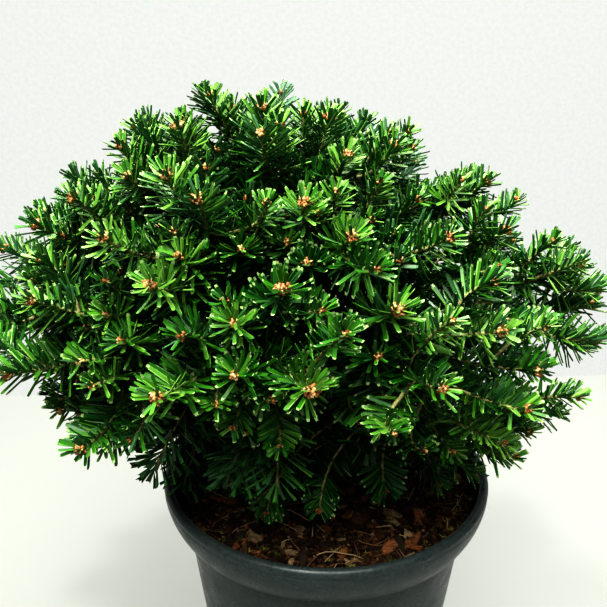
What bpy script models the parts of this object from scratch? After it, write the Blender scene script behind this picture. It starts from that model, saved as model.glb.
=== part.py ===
"""A dwarf fir in a round black nursery pot, as an assembly of separate solids.

The pot stands on the plane z = 0 with its axis on Z, and holds a mound of bark compost.
A short leaning trunk rises from the compost, and boughs spread from it to the masses of
foliage, which together make a low dome. Each mass grows by one rule: a stem, twigs to the
shoots, and on each shoot whorls of needles behind a cluster of buds.
+X is to the right of the view the plant is best seen from, and +Y is away from it.
"""

import math
import random

import bmesh
import bpy
from mathutils import Matrix, Vector

SEED = 11
SEAT_GAP = 0.0004

# The pot: a three litre nursery container, 19 cm across its rim
POT_HEIGHT = 0.150
RIM_RADIUS = 0.0950
LIP_RADIUS = 0.0028
COLLAR_HEIGHT = 0.0246
COLLAR_FOOT_RADIUS = 0.0872
BODY_TOP_RADIUS = 0.0828
BASE_RADIUS = 0.0677
WALL = 0.0016
FLOOR_THICKNESS = 0.0030
POT_SEGMENTS = 36
DRAIN_COUNT = 6
DRAIN_RADIUS = 0.005
DRAIN_CIRCLE = 0.047

# The compost: it stops below the rim and is mounded round the trunk
COMPOST_EDGE = 0.1340
COMPOST_MOUND = 0.1415
COMPOST_FLAT_RADIUS = 0.019
COMPOST_BUMP = 0.0016
COMPOST_GAP = 0.0005

# The trunk: from a flat cut on the compost to its tip inside the crown
TRUNK_TOP = 0.286
TRUNK_LEAN = Vector((-0.026, 0.003, 0.0))
TRUNK_FLARE_RADIUS = 0.0130
TRUNK_RADIUS = 0.0082
TRUNK_TIP_RADIUS = 0.0034
FLARE_HEIGHT = 0.014
TRUNK_POINTS = 12

# The crown: a dome round its heart, with its reach to each side, and its lowest shoots
HEART = Vector((-0.037, 0.003, 0.248))
REACH_RIGHT = 0.193
REACH_LEFT = 0.162
REACH_FRONT = 0.140
REACH_BACK = 0.145
REACH_UP = 0.123
REACH_DOWN = 0.160
DOME_POWER = 1.52
LOWEST_AT_SIDES = -35.0
LOWEST_AT_FRONT = 3.0
FRONT_NARROWNESS = 4
HALF_A_MASS = 9.0
FOLIAGE_FLOOR = POT_HEIGHT + 0.0015

# The tiers of boughs: name, how many, the angle above the horizon, and the first one's azimuth
TIERS = (
    ("skirt", 8, -22.0, 18.0),
    ("waist", 9, 8.0, 270.0),
    ("shoulder", 6, 37.0, 250.0),
    ("top", 3, 64.0, 200.0),
)
TIER_FEET = {"skirt": 0.165, "waist": 0.190, "shoulder": 0.219, "top": 0.250}
FOOT_STAGGER = 0.0070
BOUGH_REACH = 0.55
BOUGH_RADIUS = 0.0026
BOUGH_TIP_RADIUS = 0.0017
BOUGH_COLLAR = 0.004
BOUGH_MOST = 0.80
BOUGH_FLARE = 1.25
STEM_CLEAR = 0.0030

# A mass of foliage
CELL_GAP = 0.0006
LIMB_GAP = 0.0012
LIMB_REACH = 0.012
HUB_REACH = 0.60
CORE_FOOT = 0.46
CORE_TOP = 0.70
CORE_INSET = 0.003
CORE_MOST = 0.045
STEM_TIP_RADIUS = 0.0014
STEM_BARE = 0.1
TWIG_RADIUS = 0.0012
SHOOT_RADIUS = 0.0009

# A shoot, with needles larger than life so that fewer of them fill the crown
SHOOT_COUNT = 90
FIRST_AZIMUTH = 2.80
SHOOT_LENGTH = 0.026
SHOOT_RISE = 0.25
TIP_MARGIN = 0.0110
JITTER = 0.16
RECESS = 0.010
BUD_RADIUS = 0.0027
BUD_LENGTH = 0.0042
BUD_SEAT = 0.4
WHORLS = (
    # behind the tip, needle length, angle from the shoot, needles, blunt width
    (0.0240, 0.0290, 70.0, 8, 0.0),
    (0.0070, 0.0260, 62.0, 9, 0.0036),
)
WHORL_THICKNESS = 0.0016
FIRST_TURN = 0.2
VALLEY_RADIUS = 0.0080
UNDERSIDE_SHARE = 0.70
NEEDLE_STEP = 0.0012

GOLDEN_ANGLE = math.pi * (3 - math.sqrt(5))
UP = Vector((0.0, 0.0, 1.0))


def clear_scene():
    for obj in list(bpy.data.objects):
        bpy.data.objects.remove(obj, do_unlink=True)


def new_collection(name):
    made = bpy.data.collections.new(name)
    bpy.context.scene.collection.children.link(made)
    return made


def new_material(name, colour, roughness):
    made = bpy.data.materials.new(name)
    made.use_nodes = True
    shader = made.node_tree.nodes["Principled BSDF"]
    shader.inputs["Base Color"].default_value = (*colour, 1.0)
    shader.inputs["Roughness"].default_value = roughness
    shader.inputs["Metallic"].default_value = 0.0
    return made


def link_mesh(name, mesh, collection, material=None):
    obj = bpy.data.objects.new(name, mesh)
    collection.objects.link(obj)
    if material:
        mesh.materials.clear()
        mesh.materials.append(material)
    return obj


def from_bmesh(name, bm, collection, material=None):
    mesh = bpy.data.meshes.new(name)
    bm.to_mesh(mesh)
    bm.free()
    return link_mesh(name, mesh, collection, material)


def evaluated_mesh(obj):
    graph = bpy.context.evaluated_depsgraph_get()
    return bpy.data.meshes.new_from_object(obj.evaluated_get(graph), depsgraph=graph)


def turned(name, profile, collection, material):
    """A solid of revolution about Z. The profile is a list of (radius, height) whose outer side runs down."""
    mesh = bpy.data.meshes.new(name)
    points = [(radius, 0.0, height) for radius, height in profile]
    mesh.from_pydata(points, [(i, i + 1) for i in range(len(points) - 1)], [])
    obj = link_mesh(name, mesh, collection, material)
    screw = obj.modifiers.new("turn", "SCREW")
    screw.axis = "Z"
    screw.steps = screw.render_steps = POT_SEGMENTS
    screw.use_merge_vertices = True
    screw.merge_threshold = 0.00005
    return obj


# Pot

COLLAR_FOOT = POT_HEIGHT - COLLAR_HEIGHT
LIP_CENTRE = (RIM_RADIUS - LIP_RADIUS, POT_HEIGHT - LIP_RADIUS)


def outer_radius(height):
    """The pot's outer radius: a straight body, then a collar that curves out to the lip."""
    if height < COLLAR_FOOT:
        return BASE_RADIUS + (BODY_TOP_RADIUS - BASE_RADIUS) * height / COLLAR_FOOT
    share = min(1.0, (height - COLLAR_FOOT) / (LIP_CENTRE[1] - COLLAR_FOOT))
    return COLLAR_FOOT_RADIUS + (RIM_RADIUS - COLLAR_FOOT_RADIUS) * (1 - (1 - share) ** 2)


def inner_line():
    """The pot's inner wall from its floor up to the lip, as (radius, height)."""
    step = COLLAR_FOOT + WALL
    line = [(outer_radius(FLOOR_THICKNESS) - WALL, FLOOR_THICKNESS)]
    line += [(BODY_TOP_RADIUS - WALL, step), (COLLAR_FOOT_RADIUS - WALL, step)]
    for share in (0.33, 0.66):
        height = step + share * (LIP_CENTRE[1] - step)
        line.append((outer_radius(height) - WALL, height))
    return line


def pot_profile():
    profile = [(0.0, FLOOR_THICKNESS)] + inner_line()
    for degrees in (200, 150, 105, 60, 20):
        across = LIP_RADIUS * math.cos(math.radians(degrees))
        above = LIP_RADIUS * math.sin(math.radians(degrees))
        profile.append((LIP_CENTRE[0] + across, LIP_CENTRE[1] + above))
    for share in (1.0, 0.66, 0.32, 0.0):
        height = COLLAR_FOOT + share * (LIP_CENTRE[1] - COLLAR_FOOT)
        profile.append((outer_radius(height), height))
    profile += [(BODY_TOP_RADIUS, COLLAR_FOOT), (BASE_RADIUS, 0.0), (0.0, 0.0)]
    return profile


def make_pot(parts, cutters, material):
    pot = turned("pot", pot_profile(), parts, material)
    for number in range(DRAIN_COUNT):
        turn = math.tau * number / DRAIN_COUNT
        bm = bmesh.new()
        place = Matrix.Translation((DRAIN_CIRCLE * math.cos(turn), DRAIN_CIRCLE * math.sin(turn), 0.0))
        bmesh.ops.create_cone(
            bm, cap_ends=True, segments=12, radius1=DRAIN_RADIUS, radius2=DRAIN_RADIUS,
            depth=4 * FLOOR_THICKNESS, matrix=place,
        )
        hole = from_bmesh(f"drain_{number + 1}", bm, cutters)
        hole.hide_render = True
        hole.display_type = "WIRE"
        cut = pot.modifiers.new(f"drain_{number + 1}", "BOOLEAN")
        cut.operation = "DIFFERENCE"
        cut.object = hole
    return pot


# Compost


def compost_profile():
    foot, *wall = inner_line()
    foot_height = FLOOR_THICKNESS + COMPOST_GAP
    step = wall[0][1] + COMPOST_GAP
    edge_radius = outer_radius(COMPOST_EDGE) - WALL - COMPOST_GAP
    profile = [(0.0, COMPOST_MOUND), (COMPOST_FLAT_RADIUS, COMPOST_MOUND)]
    for share in (0.3, 0.55, 0.8):
        radius = COMPOST_FLAT_RADIUS + share * (edge_radius - COMPOST_FLAT_RADIUS)
        profile.append((radius, COMPOST_MOUND + (COMPOST_EDGE - COMPOST_MOUND) * share**1.5))
    profile += [
        (edge_radius, COMPOST_EDGE),
        (wall[1][0] - COMPOST_GAP, step),
        (wall[0][0] - COMPOST_GAP, step),
        (foot[0] - COMPOST_GAP, foot_height),
        (0.0, foot_height),
    ]
    return profile


def make_compost(parts, material):
    """A turned body whose top is roughened a little, but for the flat patch that the trunk stands on."""
    chance = random.Random(SEED)
    turned_body = turned("compost_turned", compost_profile(), parts, material)
    compost = link_mesh("compost", evaluated_mesh(turned_body), parts, material)
    bpy.data.objects.remove(turned_body, do_unlink=True)
    rough_from = COMPOST_FLAT_RADIUS + COMPOST_BUMP
    rough_to = outer_radius(COMPOST_EDGE) - WALL - COMPOST_BUMP
    for vertex in compost.data.vertices:
        radius = math.hypot(vertex.co.x, vertex.co.y)
        if vertex.co.z > COMPOST_EDGE and rough_from < radius < rough_to:
            vertex.co.z += chance.uniform(-COMPOST_BUMP, COMPOST_BUMP)
    return compost


# Trunk and boughs

TRUNK_FOOT = COMPOST_MOUND + SEAT_GAP


def trunk_share(height):
    return (height - TRUNK_FOOT) / (TRUNK_TOP - TRUNK_FOOT)


def trunk_point(height):
    """The trunk's centre: upright through the flare, then leaning."""
    free = max(0.0, height - TRUNK_FOOT - FLARE_HEIGHT) / (TRUNK_TOP - TRUNK_FOOT - FLARE_HEIGHT)
    bend = free**1.3
    return Vector((TRUNK_LEAN.x * bend, TRUNK_LEAN.y * bend, height))


def trunk_direction(height):
    return (trunk_point(height + 0.001) - trunk_point(height - 0.001)).normalized()


def trunk_radius(height):
    taper = TRUNK_RADIUS + (TRUNK_TIP_RADIUS - TRUNK_RADIUS) * trunk_share(height)
    flare = max(0.0, 1 - (height - TRUNK_FOOT) / (2 * FLARE_HEIGHT)) ** 2
    return taper + (TRUNK_FLARE_RADIUS - TRUNK_RADIUS) * flare


def limb(name, points, radii, rings, collection, material):
    """One tapering limb: a bevelled curve through the points with a radius at each."""
    curve = bpy.data.curves.new(name, "CURVE")
    curve.dimensions = "3D"
    curve.bevel_depth = 1.0
    curve.bevel_resolution = rings
    curve.use_fill_caps = True
    spline = curve.splines.new("POLY")
    spline.points.add(len(points) - 1)
    for place, point, radius in zip(spline.points, points, radii):
        place.co = (*point, 1.0)
        place.radius = radius
    curve.materials.append(material)
    obj = bpy.data.objects.new(name, curve)
    collection.objects.link(obj)
    return obj


def make_trunk(parts, material):
    heights = [TRUNK_FOOT, TRUNK_FOOT + 0.35 * FLARE_HEIGHT, TRUNK_FOOT + FLARE_HEIGHT]
    upper = TRUNK_POINTS - len(heights)
    heights += [heights[-1] + (TRUNK_TOP - heights[-1]) * (i + 1) / upper for i in range(upper)]
    points = [trunk_point(height) for height in heights]
    return limb("trunk", points, [trunk_radius(height) for height in heights], 3, parts, material)


def bough_points(mass):
    """Out level from the trunk's side, then towards the mass's hub, and straight into its space."""
    foot = trunk_point(mass["foot"])
    axis = trunk_direction(mass["foot"])
    toward = (mass["hub"] - foot).normalized()
    outward = (toward - axis * toward.dot(axis)).normalized()
    base = foot + outward * (trunk_radius(mass["foot"] - BOUGH_FLARE * BOUGH_RADIUS) + SEAT_GAP)
    collar = base + outward * BOUGH_COLLAR
    tip = foot + toward * bough_length(mass, foot)
    straight = tip - toward * BOUGH_COLLAR
    bend = collar.lerp(straight, 0.5) + (outward - toward) * ((straight - collar).length / 8)
    return [base, collar, bend, straight, tip]


def bough_length(mass, foot):
    """From the trunk's middle to where the bough enters its mass's space."""
    whole = (mass["hub"] - foot).length
    length = BOUGH_REACH * whole
    while length < BOUGH_MOST * whole:
        if room(mass, foot.lerp(mass["hub"], length / whole)) > STEM_CLEAR:
            break
        length += BOUGH_RADIUS
    return length


def make_bough(mass, parts, material):
    points = mass["bough"]
    shares = [i / (len(points) - 1) for i in range(len(points))]
    radii = [BOUGH_RADIUS + (BOUGH_TIP_RADIUS - BOUGH_RADIUS) * share for share in shares]
    radii[0] *= BOUGH_FLARE
    return limb("bough_" + mass["name"], points, radii, 1, parts, material)


# Crown


def direction_of(azimuth, elevation):
    level = math.cos(elevation)
    return Vector((level * math.cos(azimuth), level * math.sin(azimuth), math.sin(elevation)))


def crown_reach(direction):
    """How far the dome goes from its heart in a direction."""
    reaches = (
        REACH_RIGHT if direction.x > 0 else REACH_LEFT,
        REACH_BACK if direction.y > 0 else REACH_FRONT,
        REACH_UP if direction.z > 0 else REACH_DOWN,
    )
    level = math.hypot(direction.x / reaches[0], direction.y / reaches[1])
    above = abs(direction.z / reaches[2])
    return (level**DOME_POWER + above**DOME_POWER) ** (-1 / DOME_POWER)


def lowest_elevation(azimuth):
    """The lowest shoots' angle: the crown is lifted at the front, where the compost shows."""
    front = max(0.0, -math.sin(azimuth)) ** FRONT_NARROWNESS
    return math.radians(LOWEST_AT_SIDES + (LOWEST_AT_FRONT - LOWEST_AT_SIDES) * front)


def plan_masses():
    """Each mass's name, direction, reach, and the height of its bough's foot on the trunk."""
    masses = []
    for tier, count, elevation, first in TIERS:
        number = 0
        for step in range(count):
            azimuth = math.radians(first + 360.0 * step / count)
            if elevation + HALF_A_MASS < math.degrees(lowest_elevation(azimuth)):
                continue
            number += 1
            direction = direction_of(azimuth, math.radians(elevation))
            foot = TIER_FEET[tier] + FOOT_STAGGER * (step % 3 - 1)
            masses.append({"name": f"{tier}_{number}", "direction": direction, "foot": foot})
    masses.append({"name": "leader", "direction": UP.copy()})
    for mass in masses:
        mass["hub"] = HEART + mass["direction"] * (HUB_REACH * crown_reach(mass["direction"]))
        mass["walls"] = [
            (mass["direction"] - other["direction"]).normalized() for other in masses if other is not mass
        ]
        mass["limbs"] = []
        mass["shoots"] = []
    for mass in masses:
        if "foot" in mass:
            mass["bough"] = bough_points(mass)
            carrier, before = mass["bough"][-1], mass["bough"][-2]
        else:
            carrier, before = trunk_point(TRUNK_TOP), trunk_point(TRUNK_TOP - BOUGH_COLLAR)
        mass["stem_foot"] = carrier + (carrier - before).normalized() * SEAT_GAP
    stretches = limb_stretches(masses)
    for mass in masses:
        mass["limbs"] = near_limbs(mass, stretches)
    return masses


def limb_stretches(masses):
    """The limbs' centre lines as short straight stretches: start, end and thickest radius."""
    step = (TRUNK_TOP - TRUNK_FOOT) / TRUNK_POINTS
    heights = [TRUNK_FOOT + step * i for i in range(TRUNK_POINTS + 1)]
    stretches = [(trunk_point(low), trunk_point(low + step), trunk_radius(low)) for low in heights[:-1]]
    for mass in masses:
        if "bough" in mass:
            stretches += [(a, b, BOUGH_RADIUS) for a, b in zip(mass["bough"], mass["bough"][1:])]
    return stretches


def near_limbs(mass, stretches):
    """The limbs that come near the mass's space, for its needles to keep clear of."""
    near = []
    for start, end, radius in stretches:
        inside = max(min((point - HEART).dot(wall) for wall in mass["walls"]) for point in (start, end))
        if inside > -LIMB_REACH:
            near.append((start, end, radius + LIMB_GAP))
    return near


def room(mass, point):
    """How far a point lies inside its mass's space: a cone of the crown, above the rim and off the limbs."""
    from_heart = point - HEART
    inside = min(from_heart.dot(wall) for wall in mass["walls"]) - CELL_GAP
    inside = min(inside, point.z - FOLIAGE_FLOOR)
    for start, end, radius in mass["limbs"]:
        along = end - start
        share = max(0.0, min(1.0, (point - start).dot(along) / along.length_squared))
        inside = min(inside, (point - start - along * share).length - radius)
    return inside


def drawn_in(mass, point, margin):
    """The point moved inside its mass's space by at least the margin."""
    for _ in range(4):
        for wall in mass["walls"]:
            short = margin + CELL_GAP - (point - HEART).dot(wall)
            if short > 0:
                point = point + wall * short
        point.z = max(point.z, FOLIAGE_FLOOR + margin)
    return point


def plan_shoots(masses):
    """Spreads the shoots' tips evenly over the dome by the golden angle, and gives each to a mass."""
    chance = random.Random(SEED)
    lowest = math.sin(math.radians(LOWEST_AT_SIDES))
    for number in range(SHOOT_COUNT):
        rise = 1 - (number + 0.5) / SHOOT_COUNT * (1 - lowest)
        azimuth = FIRST_AZIMUTH + number * GOLDEN_ANGLE + chance.uniform(-JITTER, JITTER)
        elevation = math.asin(rise) + chance.uniform(-JITTER, JITTER) / 2
        recess = chance.uniform(0.0, RECESS)
        if elevation < lowest_elevation(azimuth):
            continue
        direction = direction_of(azimuth, elevation)
        mass = max(masses, key=lambda m: m["direction"].dot(direction))
        tip = HEART + direction * (crown_reach(direction) - BUD_LENGTH - recess)
        tip = drawn_in(mass, tip, TIP_MARGIN)
        radial = (tip - HEART).normalized()
        axis = (radial + UP * SHOOT_RISE).normalized()
        if room(mass, tip - axis * SHOOT_LENGTH) < 3 * SHOOT_RADIUS:
            axis = radial
        mass["shoots"].append({"tip": tip, "axis": axis})


# Foliage


def rod(name, start, end, start_radius, end_radius, sides, pieces):
    along = end - start
    place = Matrix.Translation((start + end) / 2) @ along.to_track_quat("Z", "Y").to_matrix().to_4x4()
    bm = bmesh.new()
    bmesh.ops.create_cone(
        bm, cap_ends=True, segments=sides, radius1=start_radius, radius2=end_radius,
        depth=along.length, matrix=place,
    )
    return from_bmesh(name, bm, pieces)


def stitched(below, above, first_below, first_above):
    """Triangles between two rings that may differ in corners. A ring is a list of turns from 0 to 1."""
    faces = []
    i = j = 0
    while i < len(below) or (j < len(above) and len(above) > 1):
        next_below = below[i + 1] if i + 1 < len(below) else below[0] + 1 if i < len(below) else math.inf
        next_above = above[j + 1] if j + 1 < len(above) else above[0] + 1 if j < len(above) else math.inf
        if len(above) == 1:
            next_above = math.inf
        a, b = first_below + i % len(below), first_above + j % len(above)
        if next_below <= next_above:
            faces.append((a, first_below + (i + 1) % len(below), b))
            i += 1
        else:
            faces.append((a, first_above + (j + 1) % len(above), b))
            j += 1
    return faces


def loft(name, sections, pieces):
    """A closed solid through unlike sections, each a list of (turn, point) in the order of turn."""
    points, faces, firsts = [], [], []
    for section in sections:
        firsts.append(len(points))
        points += [point for _, point in section]
    for number in range(len(sections) - 1):
        below = [turn for turn, _ in sections[number]]
        above = [turn for turn, _ in sections[number + 1]]
        faces += stitched(below, above, firsts[number], firsts[number + 1])
    faces.append(tuple(reversed(range(len(sections[0])))))
    mesh = bpy.data.meshes.new(name)
    mesh.from_pydata(points, [], faces)
    return link_mesh(name, mesh, pieces)


def frame_of(axis):
    """Two directions square to a shoot's axis: the one nearest to up, and the one a quarter turn on."""
    across = axis.cross(UP) if abs(axis.z) < 0.98 else axis.cross(Vector((0.0, 1.0, 0.0)))
    across.normalize()
    top = across.cross(axis)
    return top, axis.cross(top)


def around(frame, turn):
    return frame[0] * math.cos(math.tau * turn) + frame[1] * math.sin(math.tau * turn)


def ring(frame, centre, radius, corners):
    return [(i / corners, centre + around(frame, i / corners) * radius) for i in range(corners)]


def needle_end(mass, centre, way, length, least):
    """How far a needle goes before it would leave its mass's own space."""
    reach = least
    while reach < length and room(mass, centre + way * (reach + NEEDLE_STEP)) > 0:
        reach += NEEDLE_STEP
    return reach


def whorl(mass, shoot, frame, shape, phase):
    """A ring of needles as the outline of one toothed blade. Those on the underside are shorter."""
    behind, length, spread, count, width = shape
    axis = shoot["axis"]
    centre = shoot["tip"] - axis * behind
    forward, outward = math.cos(math.radians(spread)), math.sin(math.radians(spread))
    least = VALLEY_RADIUS * 1.1
    outline = []
    for tooth in range(count):
        turn = (tooth + phase) / count
        way = axis * forward + around(frame, turn) * outward
        share = UNDERSIDE_SHARE + (1 - UNDERSIDE_SHARE) * (1 + math.cos(math.tau * turn)) / 2
        reach = needle_end(mass, centre, way, length * share, least)
        end = centre + way * reach
        if width and reach > least:
            edge = around(frame, turn + 0.25) * (width / 2)
            swing = width / 2 / (reach * outward) / math.tau
            outline += [(turn - swing, end - edge), (turn + swing, end + edge)]
        else:
            outline.append((turn, end))
        between = turn + 0.5 / count
        valley = axis * forward + around(frame, between) * outward
        outline.append((between, centre + valley * VALLEY_RADIUS))
    return outline


def make_shoot(mass, shoot, number, pieces):
    """From the mass's hub to the buds: a twig, then a shoot with its whorls of needles, as one loft."""
    axis, tip = shoot["axis"], shoot["tip"]
    frame = frame_of(axis)
    sections = [ring(frame, mass["hub"], TWIG_RADIUS, 3)]
    for level, shape in enumerate(WHORLS):
        centre = tip - axis * shape[0]
        phase = FIRST_TURN + level / 2 + number * GOLDEN_ANGLE
        sections.append(ring(frame, centre - axis * WHORL_THICKNESS, SHOOT_RADIUS, 3))
        sections.append(whorl(mass, shoot, frame, shape, phase % 1.0))
        sections.append(ring(frame, centre + axis * WHORL_THICKNESS, SHOOT_RADIUS, 3))
    sections[-1] = ring(frame, tip - axis * BUD_LENGTH * BUD_SEAT, BUD_RADIUS, 5)
    sections.append([(0.0, tip + axis * BUD_LENGTH * (1 - BUD_SEAT))])
    return loft("shoot", sections, pieces)


def core_planes(mass):
    """The planes that bound a mass's core, as (a point on it, the direction into the core)."""
    direction, reach = mass["direction"], crown_reach(mass["direction"])
    planes = [(HEART + wall * (CELL_GAP + CORE_INSET), wall) for wall in mass["walls"]]
    planes.append((HEART + direction * CORE_TOP * reach, -direction))
    planes.append((HEART + direction * CORE_FOOT * reach, direction))
    planes.append((UP * (FOLIAGE_FLOOR + CORE_INSET), UP))
    stem = mass["hub"] - mass["stem_foot"]
    planes.append((mass["stem_foot"] + stem * STEM_BARE, stem.normalized()))
    return planes


def make_core(mass, pieces):
    """A ball at the hub, blown up to the planes that bound it."""
    bm = bmesh.new()
    bmesh.ops.create_icosphere(bm, subdivisions=1, radius=1.0)
    planes = core_planes(mass)
    for vertex in bm.verts:
        way = vertex.co.normalized()
        reach = CORE_MOST
        for point, inward in planes:
            closing = -way.dot(inward)
            if closing > 0:
                reach = min(reach, (mass["hub"] - point).dot(inward) / closing)
        vertex.co = mass["hub"] + way * reach
    return from_bmesh("core", bm, pieces)


def make_mass(mass, parts, material):
    """Builds one mass's pieces and joins them into one solid."""
    name = "foliage_" + mass["name"]
    pieces = new_collection(name + "_pieces")
    stem = rod(name, mass["stem_foot"], mass["hub"], BOUGH_TIP_RADIUS, STEM_TIP_RADIUS, 5, parts)
    make_core(mass, pieces)
    for number, shoot in enumerate(mass["shoots"]):
        make_shoot(mass, shoot, number, pieces)
    join = stem.modifiers.new("join", "BOOLEAN")
    join.operation = "UNION"
    join.operand_type = "COLLECTION"
    join.collection = pieces
    join.solver = "MANIFOLD"
    bpy.context.view_layer.update()
    joined = link_mesh(name + "_joined", evaluated_mesh(stem), parts, material)
    for piece in [stem, *pieces.objects]:
        bpy.data.objects.remove(piece, do_unlink=True)
    bpy.data.collections.remove(pieces)
    joined.name = name
    return joined


def main():
    clear_scene()
    parts = new_collection("potted_dwarf_fir")
    cutters = new_collection("cutters")
    plastic = new_material("pot_plastic", (0.030, 0.036, 0.036), 0.42)
    mould = new_material("compost", (0.050, 0.026, 0.014), 0.95)
    bark = new_material("bark", (0.160, 0.100, 0.055), 0.85)
    needles = new_material("needles", (0.045, 0.170, 0.040), 0.40)
    make_pot(parts, cutters, plastic)
    make_compost(parts, mould)
    make_trunk(parts, bark)
    masses = plan_masses()
    plan_shoots(masses)
    for mass in masses:
        if "bough" in mass:
            make_bough(mass, parts, bark)
        make_mass(mass, parts, needles)


main()
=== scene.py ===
"""The looks of a dwarf fir in a round nursery pot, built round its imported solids.

The crown's solids are replaced by finer shoots. They grow by the same rule as the solids: tips are spread
over a dome by the golden angle, each belongs to one mass, and each grows on from that mass's stem. Between
the main shoots stand lateral ones, which fork from them, and older twigs fill the crown's inside. All carry
flat blunt needles, and every shoot ends in a cluster of buds. Lengths are in metres, in the solids' frame.
"""

import math
import random

import bpy
import numpy as np
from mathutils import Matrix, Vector, noise


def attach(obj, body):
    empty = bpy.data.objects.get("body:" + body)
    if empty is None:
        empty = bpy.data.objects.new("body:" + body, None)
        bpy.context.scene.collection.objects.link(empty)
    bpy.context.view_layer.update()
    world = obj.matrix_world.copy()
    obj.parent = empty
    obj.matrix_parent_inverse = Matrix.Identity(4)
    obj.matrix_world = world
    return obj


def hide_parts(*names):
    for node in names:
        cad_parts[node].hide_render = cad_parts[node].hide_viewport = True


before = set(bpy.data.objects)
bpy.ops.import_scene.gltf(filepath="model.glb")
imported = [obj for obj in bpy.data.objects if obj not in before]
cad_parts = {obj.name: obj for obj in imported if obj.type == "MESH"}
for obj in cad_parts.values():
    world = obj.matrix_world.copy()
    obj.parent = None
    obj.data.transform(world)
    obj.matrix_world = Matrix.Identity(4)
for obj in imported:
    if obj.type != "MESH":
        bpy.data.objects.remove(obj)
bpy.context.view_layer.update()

SEED = 11

# The pot
POT_HEIGHT = 0.150
RIM_RADIUS = 0.0950
LIP_RADIUS = 0.0028
COLLAR_HEIGHT = 0.0246
COLLAR_FOOT_RADIUS = 0.0872
BODY_TOP_RADIUS = 0.0828
BASE_RADIUS = 0.0677
WALL = 0.0016
FLOOR_THICKNESS = 0.0030
FOOT_BEVEL = 0.0012
DRAIN_COUNT = 6
DRAIN_RADIUS = 0.005
DRAIN_CIRCLE = 0.047
DRAIN_SIDES = 32
POT_SEGMENTS = 180

# The compost
COMPOST_EDGE = 0.1340
COMPOST_MOUND = 0.1415
COMPOST_GAP = 0.0005
COMPOST_LUMP = 0.0042
COMPOST_GRAIN = 0.0015

# The trunk
TRUNK_TOP = 0.286
TRUNK_LEAN = np.array([-0.026, 0.003, 0.0])
TRUNK_FLARE_RADIUS = 0.0130
TRUNK_RADIUS = 0.0082
TRUNK_TIP_RADIUS = 0.0034
FLARE_HEIGHT = 0.014
TRUNK_FOOT = COMPOST_MOUND + 0.0004
TRUNK_SUNK = 0.003
SEAT_GAP = 0.0004
LEAN_POWER = 1.3
TANGENT_STEP = 0.001

# The crown, as in the solids
HEART = np.array([-0.037, 0.003, 0.248])
REACH_RIGHT = 0.193
REACH_LEFT = 0.162
REACH_FRONT = 0.140
REACH_BACK = 0.145
REACH_UP = 0.123
REACH_DOWN = 0.160
DOME_POWER = 1.52
LOWEST_AT_SIDES = -35.0
LOWEST_AT_FRONT = 3.0
FRONT_NARROWNESS = 4
HALF_A_MASS = 9.0
FOLIAGE_FLOOR = POT_HEIGHT + 0.0015
TIERS = (
    ("skirt", 8, -22.0, 18.0),
    ("waist", 9, 8.0, 270.0),
    ("shoulder", 6, 37.0, 250.0),
    ("top", 3, 64.0, 200.0),
)
TIER_FEET = {"skirt": 0.165, "waist": 0.190, "shoulder": 0.219, "top": 0.250}
FOOT_STAGGER = 0.0070
BOUGH_REACH = 0.55
BOUGH_MOST = 0.80
BOUGH_FLARE = 1.25
BOUGH_RADIUS = 0.0026
BOUGH_TIP_RADIUS = 0.0017
BOUGH_COLLAR = 0.004
STEM_CLEAR = 0.0030
CELL_GAP = 0.0006
HUB_REACH = 0.60
SHOOT_COUNT = 90
FIRST_AZIMUTH = 2.80
SHOOT_RISE = 0.25
TIP_MARGIN = 0.0110
DRAWING_IN_ROUNDS = 4
JITTER = 0.16
RECESS = 0.010
BUD_LENGTH = 0.0042

# A main shoot's line: the share of its length by which it is straightened at the tip, and its points
MAIN_STRAIGHT = 0.5
MAIN_POINTS = 16

# The lateral shoots, which stand between the main ones
LATERAL_COUNT = 380
LATERAL_LOWEST = -58.0
LATERAL_MARGIN = 0.004
LATERAL_RECESS = 0.028
LATERAL_CLEAR = 0.013
LATERAL_LEAST = 0.030
LATERAL_TILT = 0.30
LOW_LEFT_REACH = 0.80
LOW_LEFT_BELOW = -0.26
LOW_LEFT_MAIN_REACH = 0.87
UPPER_REACH = 0.95
SHOULDER_REACH = 1.035
SHOULDER_BELOW = 0.46
UPPER_ABOVE = 0.15
UPPER_BELOW = 0.85
UPPER_SWEEP = 0.35
LOW_FRONT_REACH = 0.86
LOW_FRONT_DROOP = 0.10
UNDERSIDE_REACH = 0.72
UNDERSIDE_DROOP = 0.55
LATERAL_TURN = 1.0
RECESS_POWER = 1.6
FORK_LAST = 0.72
FORK_EASE = 1.6
TOO_SHORT_COST = 1.0
LATERAL_STRAIGHT = 0.55
LATERAL_POINTS = 13
PROUD_SHARE = 0.14
PROUD_LEAST = 0.15
PROUD_LENGTH = 0.004
OPEN_FRONT_BELOW = -20.0
OPEN_FRONT_SWEEP = 0.45

# Hanging shoots at the front, over the compost: how far round from the front, and their tips' place
HANGING_COUNT = 5
HANGING_SWEEP = 66.0
HANGING_RADII = (0.056, 0.078)
HANGING_HEIGHTS = (0.156, 0.170)
HANGING_JITTER = 0.08
HANGING_OUTWARD = (0.4, 1.0)
HANGING_DROOP = 1.3

# Older twigs inside the crown: how far out they end, and their needles' size and breadth
INNER_COUNT = 380
INNER_LEAST = 0.28
INNER_MOST = 0.80
INNER_LOWEST = -62.0
INNER_ARCH = 0.15
INNER_POINTS = 9
INNER_SIZE = 1.35
INNER_BREADTH = 2.6
# Their needles take the two darkest greens: partly the darker green of old needles, partly painted shade
# inside the crown.
INNER_OLD_AND_SHADED_GREENS = 2

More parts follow.
